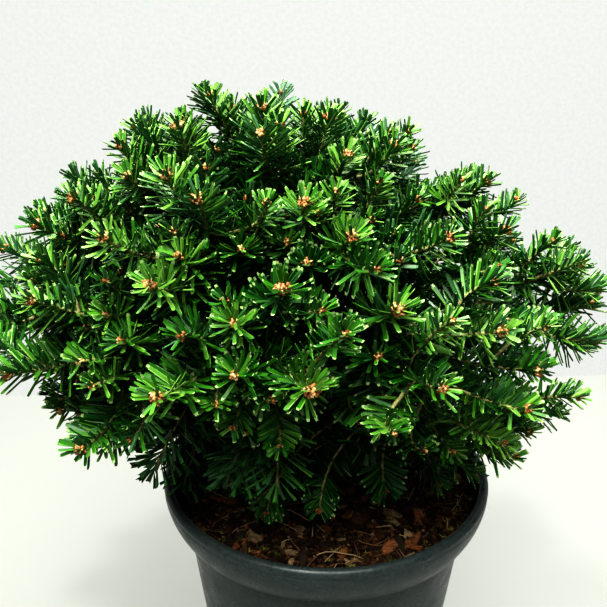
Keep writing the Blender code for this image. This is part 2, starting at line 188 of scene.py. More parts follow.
# Zones of needles behind a tip: from, to, the step between needles, and where a needle has cross sections
OUTER_ZONES = (
    (0.0004, 0.024, 0.00041, (0.12, 0.90, 1.0)),
    (0.024, 0.052, 0.00070, (0.16, 1.0)),
    (0.052, 0.105, 0.0014, (1.0,)),
)
INNER_ZONES = ((0.0010, 0.060, 0.0009, (1.0,)),)
NEEDLE_LENGTH = 0.0150
NEEDLE_WIDTH = 0.00190
NEEDLE_CURL = 0.09
NEEDLE_ASYMMETRY = 0.72
FLATTENING = 0.86

# How a needle's share of the full length and its angle to the shoot change with its place behind the tip
PLACES_BEHIND = (0.0, 0.003, 0.008, 0.018, 0.035, 0.050)
LENGTH_SHARES = (0.50, 0.68, 0.88, 1.0, 1.0, 0.8)
SPREADS = (34.0, 46.0, 58.0, 69.0, 74.0, 78.0)
SPREAD_JITTER = 7.0
TURN_JITTER = 0.3
TURNED_UP_RISE = 0.4
FACING_TURN = 0.8
FACING_JITTER = 0.16
LENGTH_RANGE = (0.86, 1.08)
WIDTH_RANGE = (0.9, 1.1)
# Painted shade: beyond each of these places behind the tip, a needle takes a green one step darker.
PAINTED_SHADE_STEPS = (0.016, 0.040)
SHADE_VARIES = 0.6
BARE_FOOT = 0.004
NEEDLE_LOWEST = COMPOST_MOUND + 0.002
RIM_MIDDLE = RIM_RADIUS - 0.004
RIM_BAND = 0.008
RIM_CLEAR = 0.001

# Twigs and the sides of their tubes
TWIG_RADIUS = 0.0007
TWIG_FOOT_RADIUS = 0.0012
TWIG_SIDES = 5
INNER_SIDES = 4
STEM_RINGS = 8
STEM_SIDES = 8

GOLDEN_ANGLE = math.pi * (3 - math.sqrt(5))
UP = np.array([0.0, 0.0, 1.0])
AWAY = np.array([0.0, 1.0, 0.0])
# Beyond these, a way counts as upright, and its side and top are taken from AWAY
UPRIGHT_WAY = 0.9
UPRIGHT_LINE = 0.97

# The photograph's view, and the table's far edge as it shows there
CAMERA_PLACE = (-0.013, -0.367, 0.382)
CAMERA_PITCH = 19.6
CAMERA_LENS = 41.99
SENSOR = 36.0
CAMERA_NEAREST = 0.01
TABLE_FAR_EDGE = 0.41
TABLE_EDGE_TURN = 4.6
TABLE_SIDE = 1.6
TABLE_THICKNESS = 0.020
TABLE_COLOUR = (0.140, 0.143, 0.134)
TABLE_GLOW = 1.75
WALL_PLACE = 1.10
WALL_SIDE = 2.5
WALL_COLOUR = (0.020, 0.0203, 0.020)
WALL_GLOW = 0.525
WALL_THICKNESS = 0.02
WALL_GRAIN = ((0.30, (0.92, 0.955, 0.91)), (0.70, (0.99, 1.0, 0.98)))

# Lights: place, what they face, size, power and colour
LIGHTS = {
    "key": ((-0.06, -0.54, 1.30), (-0.02, 0.0, 0.25), 0.90, 21.0, (1.0, 0.99, 0.93)),
    "lamp": ((-0.20, -0.32, 1.40), (-0.02, 0.0, 0.25), 0.14, 10.0, (1.0, 0.99, 0.93)),
    "back_light": ((0.24, 0.48, 1.35), (0.02, 0.04, 0.22), 1.20, 19.0, (1.0, 1.0, 0.97)),
    "front_fill": ((-0.05, -0.62, 0.62), (0.0, 0.0, 0.15), 0.50, 0.8, (1.0, 0.99, 0.95)),
}
WORLD_COLOUR = (0.94, 0.97, 1.0)
WORLD_STRENGTH = 0.17


# Meshes from arrays


class Pile:
    """Collects points and faces of many small pieces, and makes one mesh of them."""

    def __init__(self):
        self.points = []
        self.quads = []
        self.triangles = []
        self.quad_slots = []
        self.triangle_slots = []
        self.count = 0

    def add(self, points, quads=(), triangles=(), quad_slots=0, triangle_slots=0):
        points = np.asarray(points, float).reshape(-1, 3)
        quads = np.asarray(quads, np.int64).reshape(-1, 4)
        triangles = np.asarray(triangles, np.int64).reshape(-1, 3)
        self.points.append(points)
        self.quads.append(quads + self.count)
        self.triangles.append(triangles + self.count)
        self.quad_slots.append(np.broadcast_to(quad_slots, len(quads)))
        self.triangle_slots.append(np.broadcast_to(triangle_slots, len(triangles)))
        self.count += len(points)

    def to_object(self, name, materials, smooth=False):
        points = np.concatenate(self.points)
        quads = np.concatenate(self.quads)
        triangles = np.concatenate(self.triangles)
        corners = np.concatenate([quads.ravel(), triangles.ravel()])
        starts = np.concatenate([
            np.arange(len(quads)) * 4,
            len(quads) * 4 + np.arange(len(triangles)) * 3,
        ])
        mesh = bpy.data.meshes.new(name)
        mesh.vertices.add(len(points))
        mesh.vertices.foreach_set("co", points.astype(np.float32).ravel())
        mesh.loops.add(len(corners))
        mesh.loops.foreach_set("vertex_index", corners.astype(np.int32))
        mesh.polygons.add(len(starts))
        mesh.polygons.foreach_set("loop_start", starts.astype(np.int32))
        for material in materials:
            mesh.materials.append(material)
        slots = np.concatenate(self.quad_slots + self.triangle_slots)
        mesh.polygons.foreach_set("material_index", slots.astype(np.int32))
        mesh.polygons.foreach_set("use_smooth", np.full(len(starts), smooth))
        mesh.update(calc_edges=True)
        obj = bpy.data.objects.new(name, mesh)
        bpy.context.scene.collection.objects.link(obj)
        return obj


def unit(vectors):
    return vectors / np.maximum(np.linalg.norm(vectors, axis=-1, keepdims=True), 1e-12)


def square_to(way):
    """A side and a top, square to a way and to each other."""
    side = unit(np.cross(way, UP if abs(way[2]) < UPRIGHT_WAY else AWAY))
    return side, np.cross(side, way)


def run_along(points):
    """How far along a line each of its points lies."""
    return np.concatenate([[0.0], np.cumsum(np.linalg.norm(np.diff(points, axis=0), axis=1))])


def points_at(points, run, places):
    """The points that lie at some places along a line."""
    return np.stack([np.interp(places, run, points[:, k]) for k in range(3)], -1)


def frames_along(points):
    """The tangent, top and side of a line at each of its points; top is the way nearest to up."""
    tangents = unit(np.gradient(points, axis=0))
    reference = np.where(np.abs(tangents[:, 2:3]) < UPRIGHT_LINE, UP, AWAY)
    sides = unit(np.cross(tangents, reference))
    return tangents, np.cross(sides, tangents), sides


def ring_faces(rings, sides, turned_over=False):
    """Quads between rings, and triangles that close both ends onto the two points after the rings."""
    here = np.arange(sides)
    after = (here + 1) % sides
    rows = np.arange(rings - 1)[:, None] * sides
    quads = np.stack([rows + here, rows + after, rows + sides + after, rows + sides + here], -1)
    first, end = rings * sides, (rings - 1) * sides
    near = np.stack([np.full(sides, first), after, here], -1)
    far = np.stack([np.full(sides, first + 1), end + here, end + after], -1)
    triangles = np.concatenate([near, far])
    if turned_over:
        return quads[..., [0, 3, 2, 1]], triangles[:, [0, 2, 1]]
    return quads, triangles


def tube(pile, points, radii, sides, slot=0):
    """A tube through the points, closed at both ends. Each point has one radius, or one for each side."""
    count = len(points)
    _, tops, flanks = frames_along(points)
    turns = np.arange(sides) * math.tau / sides
    radii = np.broadcast_to(np.asarray(radii, float).reshape(count, -1), (count, sides))
    ways = tops[:, None] * np.cos(turns)[None, :, None] + flanks[:, None] * np.sin(turns)[None, :, None]
    rings = points[:, None] + ways * radii[:, :, None]
    skin = np.concatenate([rings.reshape(-1, 3), points[:1], points[-1:]])
    pile.add(skin, *ring_faces(count, sides), slot, slot)


def turned(pile, profile, segments):
    """A solid of revolution about Z. Its profile starts and ends on the axis, and comes down outside."""
    radii, heights = np.array(profile).T
    turns = np.arange(segments) * math.tau / segments
    rings = np.stack([
        radii[1:-1, None] * np.cos(turns), radii[1:-1, None] * np.sin(turns),
        np.broadcast_to(heights[1:-1, None], (len(profile) - 2, segments)),
    ], -1)
    poles = [(0.0, 0.0, heights[0]), (0.0, 0.0, heights[-1])]
    skin = np.concatenate([rings.reshape(-1, 3), poles])
    pile.add(skin, *ring_faces(len(rings), segments, turned_over=True))


# Materials


def surface(name, colour, roughness, **sockets):
    """A material with one plain shader, whose other sockets are given by name."""
    made = bpy.data.materials.new(name)
    made.use_nodes = True
    shader = made.node_tree.nodes["Principled BSDF"]
    shader.inputs["Base Color"].default_value = (*colour, 1.0)
    shader.inputs["Roughness"].default_value = roughness
    for socket, value in sockets.items():
        shader.inputs[socket.replace("_", " ")].default_value = value
    return made


def add_noise(material, scale, detail=4.0, stretch=(1.0, 1.0, 1.0)):
    """A noise over the piece's own coordinates, as a node."""
    tree = material.node_tree
    place = tree.nodes.new("ShaderNodeTexCoord")
    mapping = tree.nodes.new("ShaderNodeMapping")
    mapping.inputs["Scale"].default_value = stretch
    made = tree.nodes.new("ShaderNodeTexNoise")
    made.inputs["Scale"].default_value = scale
    made.inputs["Detail"].default_value = detail
    tree.links.new(place.outputs["Object"], mapping.inputs["Vector"])
    tree.links.new(mapping.outputs["Vector"], made.inputs["Vector"])
    return made


def add_ramp(material, source, stops, socket):
    """Sends a noise through a colour ramp to one of the shader's sockets."""
    tree = material.node_tree
    ramp = tree.nodes.new("ShaderNodeValToRGB")
    elements = ramp.color_ramp.elements
    elements[0].position, elements[0].color = stops[0][0], (*stops[0][1], 1.0)
    elements[1].position, elements[1].color = stops[-1][0], (*stops[-1][1], 1.0)
    for position, colour in stops[1:-1]:
        elements.new(position).color = (*colour, 1.0)
    tree.links.new(source.outputs["Fac"], ramp.inputs["Fac"])
    tree.links.new(ramp.outputs["Color"], tree.nodes["Principled BSDF"].inputs[socket])


def add_bump(material, source, strength, distance):
    tree = material.node_tree
    bump = tree.nodes.new("ShaderNodeBump")
    bump.inputs["Strength"].default_value = strength
    bump.inputs["Distance"].default_value = distance
    tree.links.new(source.outputs["Fac"], bump.inputs["Height"])
    tree.links.new(bump.outputs["Normal"], tree.nodes["Principled BSDF"].inputs["Normal"])


def pot_plastic():
    """Dark satin plastic with a faint mottle, dust specks and a moulded grain."""
    made = surface("pot_plastic_satin", (0.030, 0.037, 0.035), 0.36, Specular_IOR_Level=0.34)
    mottle = [
        (0.30, (0.029, 0.039, 0.040)), (0.60, (0.049, 0.065, 0.064)),
        (0.70, (0.056, 0.073, 0.071)), (0.76, (0.140, 0.145, 0.135)),
    ]
    add_ramp(made, add_noise(made, 620.0, 7.0), mottle, "Base Color")
    add_ramp(made, add_noise(made, 90.0, 8.0), [(0.3, (0.22,) * 3), (0.7, (0.42,) * 3)], "Roughness")
    add_bump(made, add_noise(made, 1300.0, 4.0), 0.22, 0.0003)
    return made


def compost_mould():
    made = surface("compost_mould", (0.016, 0.009, 0.006), 0.92, Specular_IOR_Level=0.25)
    stops = [(0.32, (0.006, 0.004, 0.002)), (0.50, (0.032, 0.018, 0.009)), (0.66, (0.160, 0.086, 0.038))]
    add_ramp(made, add_noise(made, 420.0, 6.0), stops, "Base Color")
    add_bump(made, add_noise(made, 1100.0, 5.0), 0.8, 0.0010)
    return made


def grained(name, dark, pale, roughness, ramp, grain, relief_of_grain):
    """A surface from dark to pale by one grain, given as a noise's values, which is also its fine relief."""
    made = surface(name, dark, roughness)
    found = add_noise(made, *grain)
    add_ramp(made, found, [(ramp[0], dark), (ramp[1], pale)], "Base Color")
    add_bump(made, found, *relief_of_grain)
    return made


def bark(name, dark, pale, scale, stretch):
    return grained(name, dark, pale, 0.85, (0.35, 0.70), (scale, 6.0, stretch), (0.6, 0.0006))


def chip(name, dark, pale):
    return grained(name, dark, pale, 0.80, (0.35, 0.70), (260.0, 5.0, (1.0, 4.0, 1.0)), (0.5, 0.0004))


def bud_scales(name, dark, pale):
    return grained(name, dark, pale, 0.5, (0.38, 0.60), (1100.0, 3.0), (0.6, 0.0003))


# Needle greens from dark to light: random tone, and painted shade, since shoots deeper in the crown and
# needles further behind a tip take darker ones. The lightest is used only as a painted highlight along one
# edge of a needle's top.
GREENS = (
    (0.004, 0.038, 0.003),
    (0.011, 0.078, 0.006),
    (0.033, 0.140, 0.012),
    (0.075, 0.206, 0.026),
    (0.135, 0.290, 0.050),
    (0.225, 0.385, 0.105),
)
SHADES = len(GREENS) - 1
UNDERSIDE_SLOT = len(GREENS)
TIP_AND_GLINT_SLOT = len(GREENS) + 1
SILVERY_SLOT = len(GREENS) + 2
PALE_CREST_SLOT = len(GREENS) + 3


def needle_materials():
    made = [
        surface(f"needle_green_{i + 1}", colour, 0.38, Specular_IOR_Level=0.42)
        for i, colour in enumerate(GREENS)
    ]
    made.append(surface("needle_underside", (0.045, 0.130, 0.050), 0.55))
    # Pale needle tips: partly a yellow-green tip, partly a painted glint where light catches the blunt tip.
    made.append(surface("needle_tip_and_glint", (0.280, 0.390, 0.170), 0.40, Specular_IOR_Level=0.40))
    made.append(surface("needle_silvery_underside", (0.300, 0.450, 0.330), 0.55))
    # A paler grey-green given to the needles of some shoots at the back of the crest.
    made.append(surface("needle_pale_crest_green", (0.165, 0.275, 0.170), 0.50))
    return made


# Crown plan, by the rule of the solids


def direction_of(azimuth, elevation=0.0):
    level = math.cos(elevation)
    return np.array([level * math.cos(azimuth), level * math.sin(azimuth), math.sin(elevation)])


def crown_reach(direction):
    """How far the dome goes from its heart in a direction."""
    reaches = (
        REACH_RIGHT if direction[0] > 0 else REACH_LEFT,
        REACH_BACK if direction[1] > 0 else REACH_FRONT,
        REACH_UP if direction[2] > 0 else REACH_DOWN,
    )
    level = math.hypot(direction[0] / reaches[0], direction[1] / reaches[1])
    above = abs(direction[2] / reaches[2])
    return (level**DOME_POWER + above**DOME_POWER) ** (-1 / DOME_POWER)


def dome_places(count, lowest, first_azimuth):
    """Sines of elevations, and azimuths, spread by the golden angle from the top downwards."""
    lowest = math.sin(math.radians(lowest))
    for number in range(count):
        yield 1 - (number + 0.5) / count * (1 - lowest), first_azimuth + number * GOLDEN_ANGLE


def lowest_elevation(azimuth):
    front = max(0.0, -math.sin(azimuth)) ** FRONT_NARROWNESS
    return math.radians(LOWEST_AT_SIDES + (LOWEST_AT_FRONT - LOWEST_AT_SIDES) * front)


def trunk_point(height):
    """The trunk's centre: upright through the flare, then leaning."""
    free = max(0.0, height - TRUNK_FOOT - FLARE_HEIGHT) / (TRUNK_TOP - TRUNK_FOOT - FLARE_HEIGHT)
    return TRUNK_LEAN * free**LEAN_POWER + UP * height


def trunk_direction(height):
    return unit(trunk_point(height + TANGENT_STEP) - trunk_point(height - TANGENT_STEP))


def trunk_radius(height):
    share = (height - TRUNK_FOOT) / (TRUNK_TOP - TRUNK_FOOT)
    flare = max(0.0, 1 - (height - TRUNK_FOOT) / (2 * FLARE_HEIGHT)) ** 2
    taper = TRUNK_RADIUS + (TRUNK_TIP_RADIUS - TRUNK_RADIUS) * share
    return taper + (TRUNK_FLARE_RADIUS - TRUNK_RADIUS) * flare


def room(mass, point):
    """How far a point lies inside its mass's space."""
    inside = float((mass["walls"] @ (point - HEART)).min()) - CELL_GAP
    return min(inside, point[2] - FOLIAGE_FLOOR)


def bough_points(mass):
    """Out level from the trunk's side, then towards the mass's hub, and straight into its space."""
    foot = trunk_point(mass["foot"])
    axis = trunk_direction(mass["foot"])
    whole = float(np.linalg.norm(mass["hub"] - foot))
    toward = (mass["hub"] - foot) / whole
    outward = unit(toward - axis * toward.dot(axis))
    base = foot + outward * (trunk_radius(mass["foot"] - BOUGH_FLARE * BOUGH_RADIUS) + SEAT_GAP)
    collar = base + outward * BOUGH_COLLAR
    length = BOUGH_REACH * whole
    while length < BOUGH_MOST * whole and room(mass, foot + toward * length) <= STEM_CLEAR:
        length += BOUGH_RADIUS
    tip = foot + toward * length
    straight = tip - toward * BOUGH_COLLAR
    bend = (collar + straight) / 2 + (outward - toward) * (np.linalg.norm(straight - collar) / 8)
    return np.array([base, collar, bend, straight, tip])


def plan_masses():
    masses = []
    for tier, count, elevation, first in TIERS:
        number = 0
        for step in range(count):
            azimuth = math.radians(first + 360.0 * step / count)
            if elevation + HALF_A_MASS < math.degrees(lowest_elevation(azimuth)):
                continue
            number += 1
            masses.append({
                "name": f"{tier}_{number}",
                "tier": tier,
                "direction": direction_of(azimuth, math.radians(elevation)),
                "foot": TIER_FEET[tier] + FOOT_STAGGER * (step % 3 - 1),
            })
    masses.append({"name": "leader", "tier": "top", "direction": UP})
    for mass in masses:
        mass["hub"] = HEART + mass["direction"] * (HUB_REACH * crown_reach(mass["direction"]))
        mass["walls"] = unit(np.array([
            mass["direction"] - other["direction"] for other in masses if other is not mass
        ]))
        mass.update(mains=[], laterals=[], inner=[])
    for mass in masses:
        if "foot" in mass:
            mass["bough"] = bough_points(mass)
            mass["stem_foot"] = mass["bough"][-1]
        else:
            mass["stem_foot"] = trunk_point(TRUNK_TOP)
    return masses


def drawn_in(mass, point, margin):
    """The point moved inside its mass's space by at least the margin."""
    for _ in range(DRAWING_IN_ROUNDS):
        for wall in mass["walls"]:
            short = margin + CELL_GAP - (point - HEART).dot(wall)
            if short > 0:
                point = point + wall * short
        point[2] = max(point[2], FOLIAGE_FLOOR + margin)
    return point


def bezier(start, middle, end, count):
    share = np.linspace(0.0, 1.0, count)[:, None]
    return start * (1 - share) ** 2 + middle * (2 * share * (1 - share)) + end * share**2


def owner(masses, direction):
    return max(masses, key=lambda mass: mass["direction"].dot(direction))


def plan_mains(masses):
    """The solids' shoots, in the same order of chance. Those at the low left end a little sooner."""
    chance = random.Random(SEED)
    for rise, azimuth in dome_places(SHOOT_COUNT, LOWEST_AT_SIDES, FIRST_AZIMUTH):
        azimuth += chance.uniform(-JITTER, JITTER)
        elevation = math.asin(rise) + chance.uniform(-JITTER, JITTER) / 2
        recess = chance.uniform(0.0, RECESS)
        if elevation < lowest_elevation(azimuth):
            continue
        direction = direction_of(azimuth, elevation)
        mass = owner(masses, direction)
        low_left = elevation < LOW_LEFT_BELOW and math.cos(azimuth) < 0
        reach = crown_reach(direction) * (LOW_LEFT_MAIN_REACH if low_left else 1.0)
        tip = drawn_in(mass, HEART + direction * (reach - BUD_LENGTH - recess), TIP_MARGIN)
        axis = unit(unit(tip - HEART) + UP * SHOOT_RISE)
        bend = tip - axis * (MAIN_STRAIGHT * np.linalg.norm(tip - mass["hub"]))
        line = bezier(mass["hub"], bend, tip, MAIN_POINTS)
        mass["mains"].append({"line": line, "recess": recess, "main": True})


def plan_laterals(masses):
    """Lateral shoots fill the dome between the main ones, and fork from them. Their reach goes by zones."""
    chance = random.Random(SEED + 1)
    main_tips = np.array([shoot["line"][-1] for mass in masses for shoot in mass["mains"]])
    for rise, azimuth in dome_places(LATERAL_COUNT, LATERAL_LOWEST, FIRST_AZIMUTH + LATERAL_TURN):
        azimuth += chance.uniform(-JITTER, JITTER) / 2
        elevation = math.asin(rise) + chance.uniform(-JITTER, JITTER) / 4
        recess = LATERAL_RECESS * chance.random() ** RECESS_POWER
        tilt = np.array([chance.uniform(-1, 1) for _ in range(3)]) * LATERAL_TILT
        proud = chance.random() < PROUD_SHARE and rise > PROUD_LEAST
        below = elevation < lowest_elevation(azimuth)
        front = -math.sin(azimuth) > OPEN_FRONT_SWEEP
        if front and elevation < math.radians(OPEN_FRONT_BELOW):
            continue
        low_left = elevation < 0 and math.cos(azimuth) < 0
        upper = UPPER_ABOVE < elevation < UPPER_BELOW
        share = UNDERSIDE_REACH if below else LOW_LEFT_REACH if low_left else 1.0
        if below and front:
            share = LOW_FRONT_REACH
        elif upper and abs(math.cos(azimuth)) > UPPER_SWEEP:
            right_shoulder = math.cos(azimuth) > 0 and elevation < SHOULDER_BELOW
            share, proud = SHOULDER_REACH if right_shoulder else UPPER_REACH, False
        direction = direction_of(azimuth, elevation)
        mass = owner(masses, direction)
        reach = crown_reach(direction) * share - BUD_LENGTH
        tip = HEART + direction * (reach + PROUD_LENGTH if proud else reach - recess)
        tip = drawn_in(mass, tip, LATERAL_MARGIN)
        if not mass["mains"] or np.linalg.norm(main_tips - tip, axis=1).min() < LATERAL_CLEAR:
            continue
        lift = -LOW_FRONT_DROOP if below and front else -UNDERSIDE_DROOP if below else SHOOT_RISE
        axis = unit(unit(tip - HEART) + UP * lift + tilt)
        line = lateral_line(mass, tip, axis)
        mass["laterals"].append({"line": line, "recess": recess, "main": False})


def plan_hanging(masses):
    """Shoots that hang from the front masses over the compost, inside the pot's rim."""
    chance = random.Random(SEED + 5)
    for number in range(HANGING_COUNT):
        share = (number + 0.5) / HANGING_COUNT * 2 - 1
        azimuth = -math.pi / 2 + math.radians(HANGING_SWEEP) * share
        azimuth += chance.uniform(-HANGING_JITTER, HANGING_JITTER)
        outward = direction_of(azimuth)
        tip = outward * chance.uniform(*HANGING_RADII) + UP * chance.uniform(*HANGING_HEIGHTS)
        mass = owner([mass for mass in masses if mass["mains"]], unit(tip - HEART))
        axis = unit(outward * chance.uniform(*HANGING_OUTWARD) - UP * HANGING_DROOP)
        line = lateral_line(mass, tip, axis)
        # Hanging under the crown, they take the deepest recess and with it the darkest painted shade.
        mass["laterals"].append({"line": line, "recess": LATERAL_RECESS, "main": False})


def plan_inner_twigs(masses):
    """Older twigs end well inside the dome, and keep the light out of its middle."""
    chance = random.Random(SEED + 2)
    for rise, azimuth in dome_places(INNER_COUNT, INNER_LOWEST, 0.0):
        direction = direction_of(azimuth + chance.uniform(-JITTER, JITTER), math.asin(rise))
        mass = owner(masses, direction)
        share = chance.uniform(INNER_LEAST, INNER_MOST)
        tip = drawn_in(mass, HEART + direction * (crown_reach(direction) * share), LATERAL_MARGIN)
        foot = mass["stem_foot"]
        bend = (foot + tip) / 2 + UP * (INNER_ARCH * np.linalg.norm(tip - foot))
        line = bezier(foot, bend, tip, INNER_POINTS)
        mass["inner"].append({"line": line, "recess": LATERAL_RECESS, "main": False})


def lateral_line(mass, tip, axis):
    """From the fork on a main shoot of the same mass that the shoot reaches most directly."""
    forks = np.concatenate([
        shoot["line"][: int(len(shoot["line"]) * FORK_LAST)] for shoot in mass["mains"]
    ])
    away = tip - forks
    length = np.linalg.norm(away, axis=1)
    straightness = (away @ axis) / length
    cost = length * (FORK_EASE - straightness) + np.where(length < LATERAL_LEAST, TOO_SHORT_COST, 0.0)
    best = int(cost.argmin())
    return bezier(forks[best], tip - axis * (LATERAL_STRAIGHT * length[best]), tip, LATERAL_POINTS)


# Needles

NEEDLE_OUTLINE = ((0.0, 0.12, 0.6, 0.9, 1.0), (0.30, 0.40, 0.50, 0.48, 0.30))
NEEDLE_GROOVE = 0.13
NEEDLE_RIB = 0.13
NEEDLE_NOTCH = 0.14
# The groove's ridge lies off the middle towards one edge; the narrow face there is painted lighter as a
# highlight.
EDGE_PLACE = 0.50
LEFT, MIDDLE, RIGHT, BELOW = range(4)
LEFT_FACE, RIGHT_FACE, UNDER_FACE, END_FACE = range(4)


def needle_faces(sections):
    """One needle's quads and triangles, each with the kind of surface that it shows."""
    def corner(section, place):
        return 1 + 4 * section + place

    around = (
        (LEFT, MIDDLE, LEFT_FACE), (MIDDLE, RIGHT, RIGHT_FACE),
        (RIGHT, BELOW, UNDER_FACE), (BELOW, LEFT, UNDER_FACE),
    )
    quads, quad_kinds = [], []
    for section in range(sections - 1):
        at_end = sections > 2 and section == sections - 2
        for a, b, kind in around:
            near = (corner(section, a), corner(section, b))
            quads.append(near + (corner(section + 1, b), corner(section + 1, a)))
            quad_kinds.append(END_FACE if at_end and kind != UNDER_FACE else kind)
    last = sections - 1
    triangles = [
        (0, corner(0, MIDDLE), corner(0, LEFT)), (0, corner(0, RIGHT), corner(0, MIDDLE)),
        (0, corner(0, BELOW), corner(0, RIGHT)), (0, corner(0, LEFT), corner(0, BELOW)),
        (corner(last, LEFT), corner(last, MIDDLE), corner(last, BELOW)),
        (corner(last, MIDDLE), corner(last, RIGHT), corner(last, BELOW)),
    ]
    triangle_kinds = [LEFT_FACE, RIGHT_FACE, UNDER_FACE, UNDER_FACE, END_FACE, END_FACE]
    quads = np.array(quads, int).reshape(-1, 4)
    return quads, np.array(quad_kinds, int), np.array(triangles), np.array(triangle_kinds)


NEEDLE_FACES = {sections: needle_faces(sections) for sections in (1, 2, 3)}


def add_needles(pile, stations, needles):
    """Adds flat needles. Each has a foot, a way to grow, a way its glossy side faces, sizes and shades. One
    narrow face of each needle's top is painted two greens lighter, a painted highlight along one edge, and
    pale ends are partly a painted glint.
    """
    feet, ways, lengths, widths = (needles[key] for key in ("feet", "ways", "lengths", "widths"))
    count = len(feet)
    acrosses = unit(np.cross(ways, needles["facing"]))
    normals = np.cross(acrosses, ways)
    points = np.empty((count, 1 + 4 * len(stations), 3))
    points[:, 0] = feet
    for number, station in enumerate(stations):
        middle = feet + ways * (lengths * station)[:, None]
        middle += normals * (NEEDLE_CURL * lengths * station**2)[:, None]
        half = acrosses * (widths * np.interp(station, *NEEDLE_OUTLINE))[:, None]
        off_middle = half * (needles["edge"] * EDGE_PLACE)[:, None]
        notch = ways * (widths * NEEDLE_NOTCH)[:, None] if station == 1.0 else 0.0
        groove = normals * (widths * NEEDLE_GROOVE)[:, None]
        rib = normals * (widths * NEEDLE_RIB)[:, None]
        first = 1 + 4 * number
        points[:, first + LEFT] = middle - half
        points[:, first + MIDDLE] = middle + off_middle - groove - notch
        points[:, first + RIGHT] = middle + half
        points[:, first + BELOW] = middle - groove - rib - notch
    quads, quad_kinds, triangles, triangle_kinds = NEEDLE_FACES[len(stations)]
    offsets = np.arange(count)[:, None, None] * points.shape[1]
    # Pale ends are partly a painted glint at the blunt tip.
    ends = np.where(needles["pale"], TIP_AND_GLINT_SLOT, needles["shades"])
    # Painted highlight: the narrow top face by the off-middle ridge takes a green two steps lighter.
    lit_edges = np.where(needles["shades"] < SHADES, np.minimum(needles["shades"] + 2, SHADES), needles["shades"])
    left = np.where(needles["edge"] < 0, lit_edges, needles["shades"])
    right = np.where(needles["edge"] > 0, lit_edges, needles["shades"])
    slots = np.stack([left, right, needles["undersides"], ends], -1)
    pile.add(
        points, quads[None] + offsets, triangles[None] + offsets,
        slots[:, quad_kinds].ravel(), slots[:, triangle_kinds].ravel(),
    )


def grow_zone(pile, shoot, run, zone, chance):
    """Needles round one zone of a shoot, by the golden angle. Most of those below a level shoot turn up."""
    start, end, step, stations = zone
    line = shoot["line"]
    end = min(end * shoot["size"], run[-1] - BARE_FOOT)
    count = int((end - start) / step)
    if count < 1:
        return
    behind = start + (np.arange(count) + 0.5) * step
    feet = points_at(line, run, run[-1] - behind)
    at = np.minimum(np.searchsorted(run, run[-1] - behind), len(line) - 1)
    tangents, tops, sides = (vectors[at] for vectors in shoot["frames"])
    turn = behind / step * GOLDEN_ANGLE + chance.uniform(-TURN_JITTER, TURN_JITTER, count)
    rise, across = np.cos(turn), np.sin(turn)
    level = 1 - np.abs(tangents[:, 2])
    turned_up = (rise < 0) & (chance.random(count) < NEEDLE_ASYMMETRY * level)
    rise = np.where(turned_up, -TURNED_UP_RISE * rise, rise) * (1 - FLATTENING * shoot["flatness"])
    around = unit(tops * rise[:, None] + sides * across[:, None])
    spread = np.interp(behind, PLACES_BEHIND, SPREADS)
    spread = np.radians(spread + chance.normal(0.0, SPREAD_JITTER, count))
    ways = tangents * np.cos(spread)[:, None] + around * np.sin(spread)[:, None]
    turned = np.maximum(level * np.abs(across), shoot["flatness"])[:, None]
    facing = tangents * (1 - FACING_TURN * turned) + tops * turned
    facing = unit(facing + chance.normal(0.0, FACING_JITTER, (count, 3)))
    lengths = NEEDLE_LENGTH * shoot["size"] * np.interp(behind, PLACES_BEHIND, LENGTH_SHARES)
    lengths *= chance.uniform(*LENGTH_RANGE, count)
    # Painted shade: needles further behind the tip take darker greens; then some stray one green either way
    # at random.
    shade = shoot["shade"] - (behind > PAINTED_SHADE_STEPS[0]) - (behind > PAINTED_SHADE_STEPS[1])
    shade = shade + chance.integers(-1, 2, count) * (chance.random(count) < SHADE_VARIES)
    needles = {
        "feet": feet, "ways": ways, "facing": facing, "lengths": lengths,
        "widths": NEEDLE_WIDTH * shoot["breadth"] * chance.uniform(*WIDTH_RANGE, count),
        "shades": np.full(count, PALE_CREST_SLOT) if shoot["silvery"] else np.clip(shade, 0, SHADES - 1),
        "edge": np.where(chance.random(count) < 0.5, -1, 1),
        "undersides": np.full(count, SILVERY_SLOT if shoot["silvery"] else UNDERSIDE_SLOT),
        "pale": chance.random(count) < shoot["pale"],
    }
    ends = feet + ways * lengths[:, None]
    keep = (ends[:, 2] > NEEDLE_LOWEST) & ~near_pot(ends)
    add_needles(pile, stations, {key: values[keep] for key, values in needles.items()})


def grow_needles(pile, shoot, zones, chance):
    run = run_along(shoot["line"])
    shoot["frames"] = frames_along(shoot["line"])
    for zone in zones:
        grow_zone(pile, shoot, run, zone, chance)


def near_pot(points):
    """Whether points lie at the pot's rim or beneath it."""
    radius = np.hypot(points[:, 0], points[:, 1])
    return (np.abs(radius - RIM_MIDDLE) < RIM_BAND) & (points[:, 2] < POT_HEIGHT + RIM_CLEAR)


# Buds

BUD_RADIUS = 0.00112
BUD_SIZE = 0.0025
BUD_SIDES = 5
# A bud's cross sections: their place along it, and their share of its radius
BUD_STATIONS = ((0.05, 0.85), (0.60, 0.85))
BUD_FACES = ring_faces(len(BUD_STATIONS), BUD_SIDES)
BUD_LOBES = 3
BUD_LOBE_DEPTH = 0.10
BUD_TWIST = 2.1
BUD_UNEVENNESS = 0.05
BUD_SUNK = 0.3
BUD_RANGE = (0.78, 1.05)
BUD_LEAN = 0.8
BUD_SKINS = 3
# Clusters: from how many buds to fewer than how many, and their width as a share of CLUSTER_RADIUS
MAIN_CLUSTER = ((17, 23), 1.3)
LATERAL_CLUSTER = ((6, 11), 0.8)
CLUSTER_RADIUS = 0.0013
CLUSTER_STRETCH = (1.0, 1.5)
CLUSTER_SUNK = 0.0004
CLUSTER_DOME = 0.0012
CLUSTER_MOST = 1.1


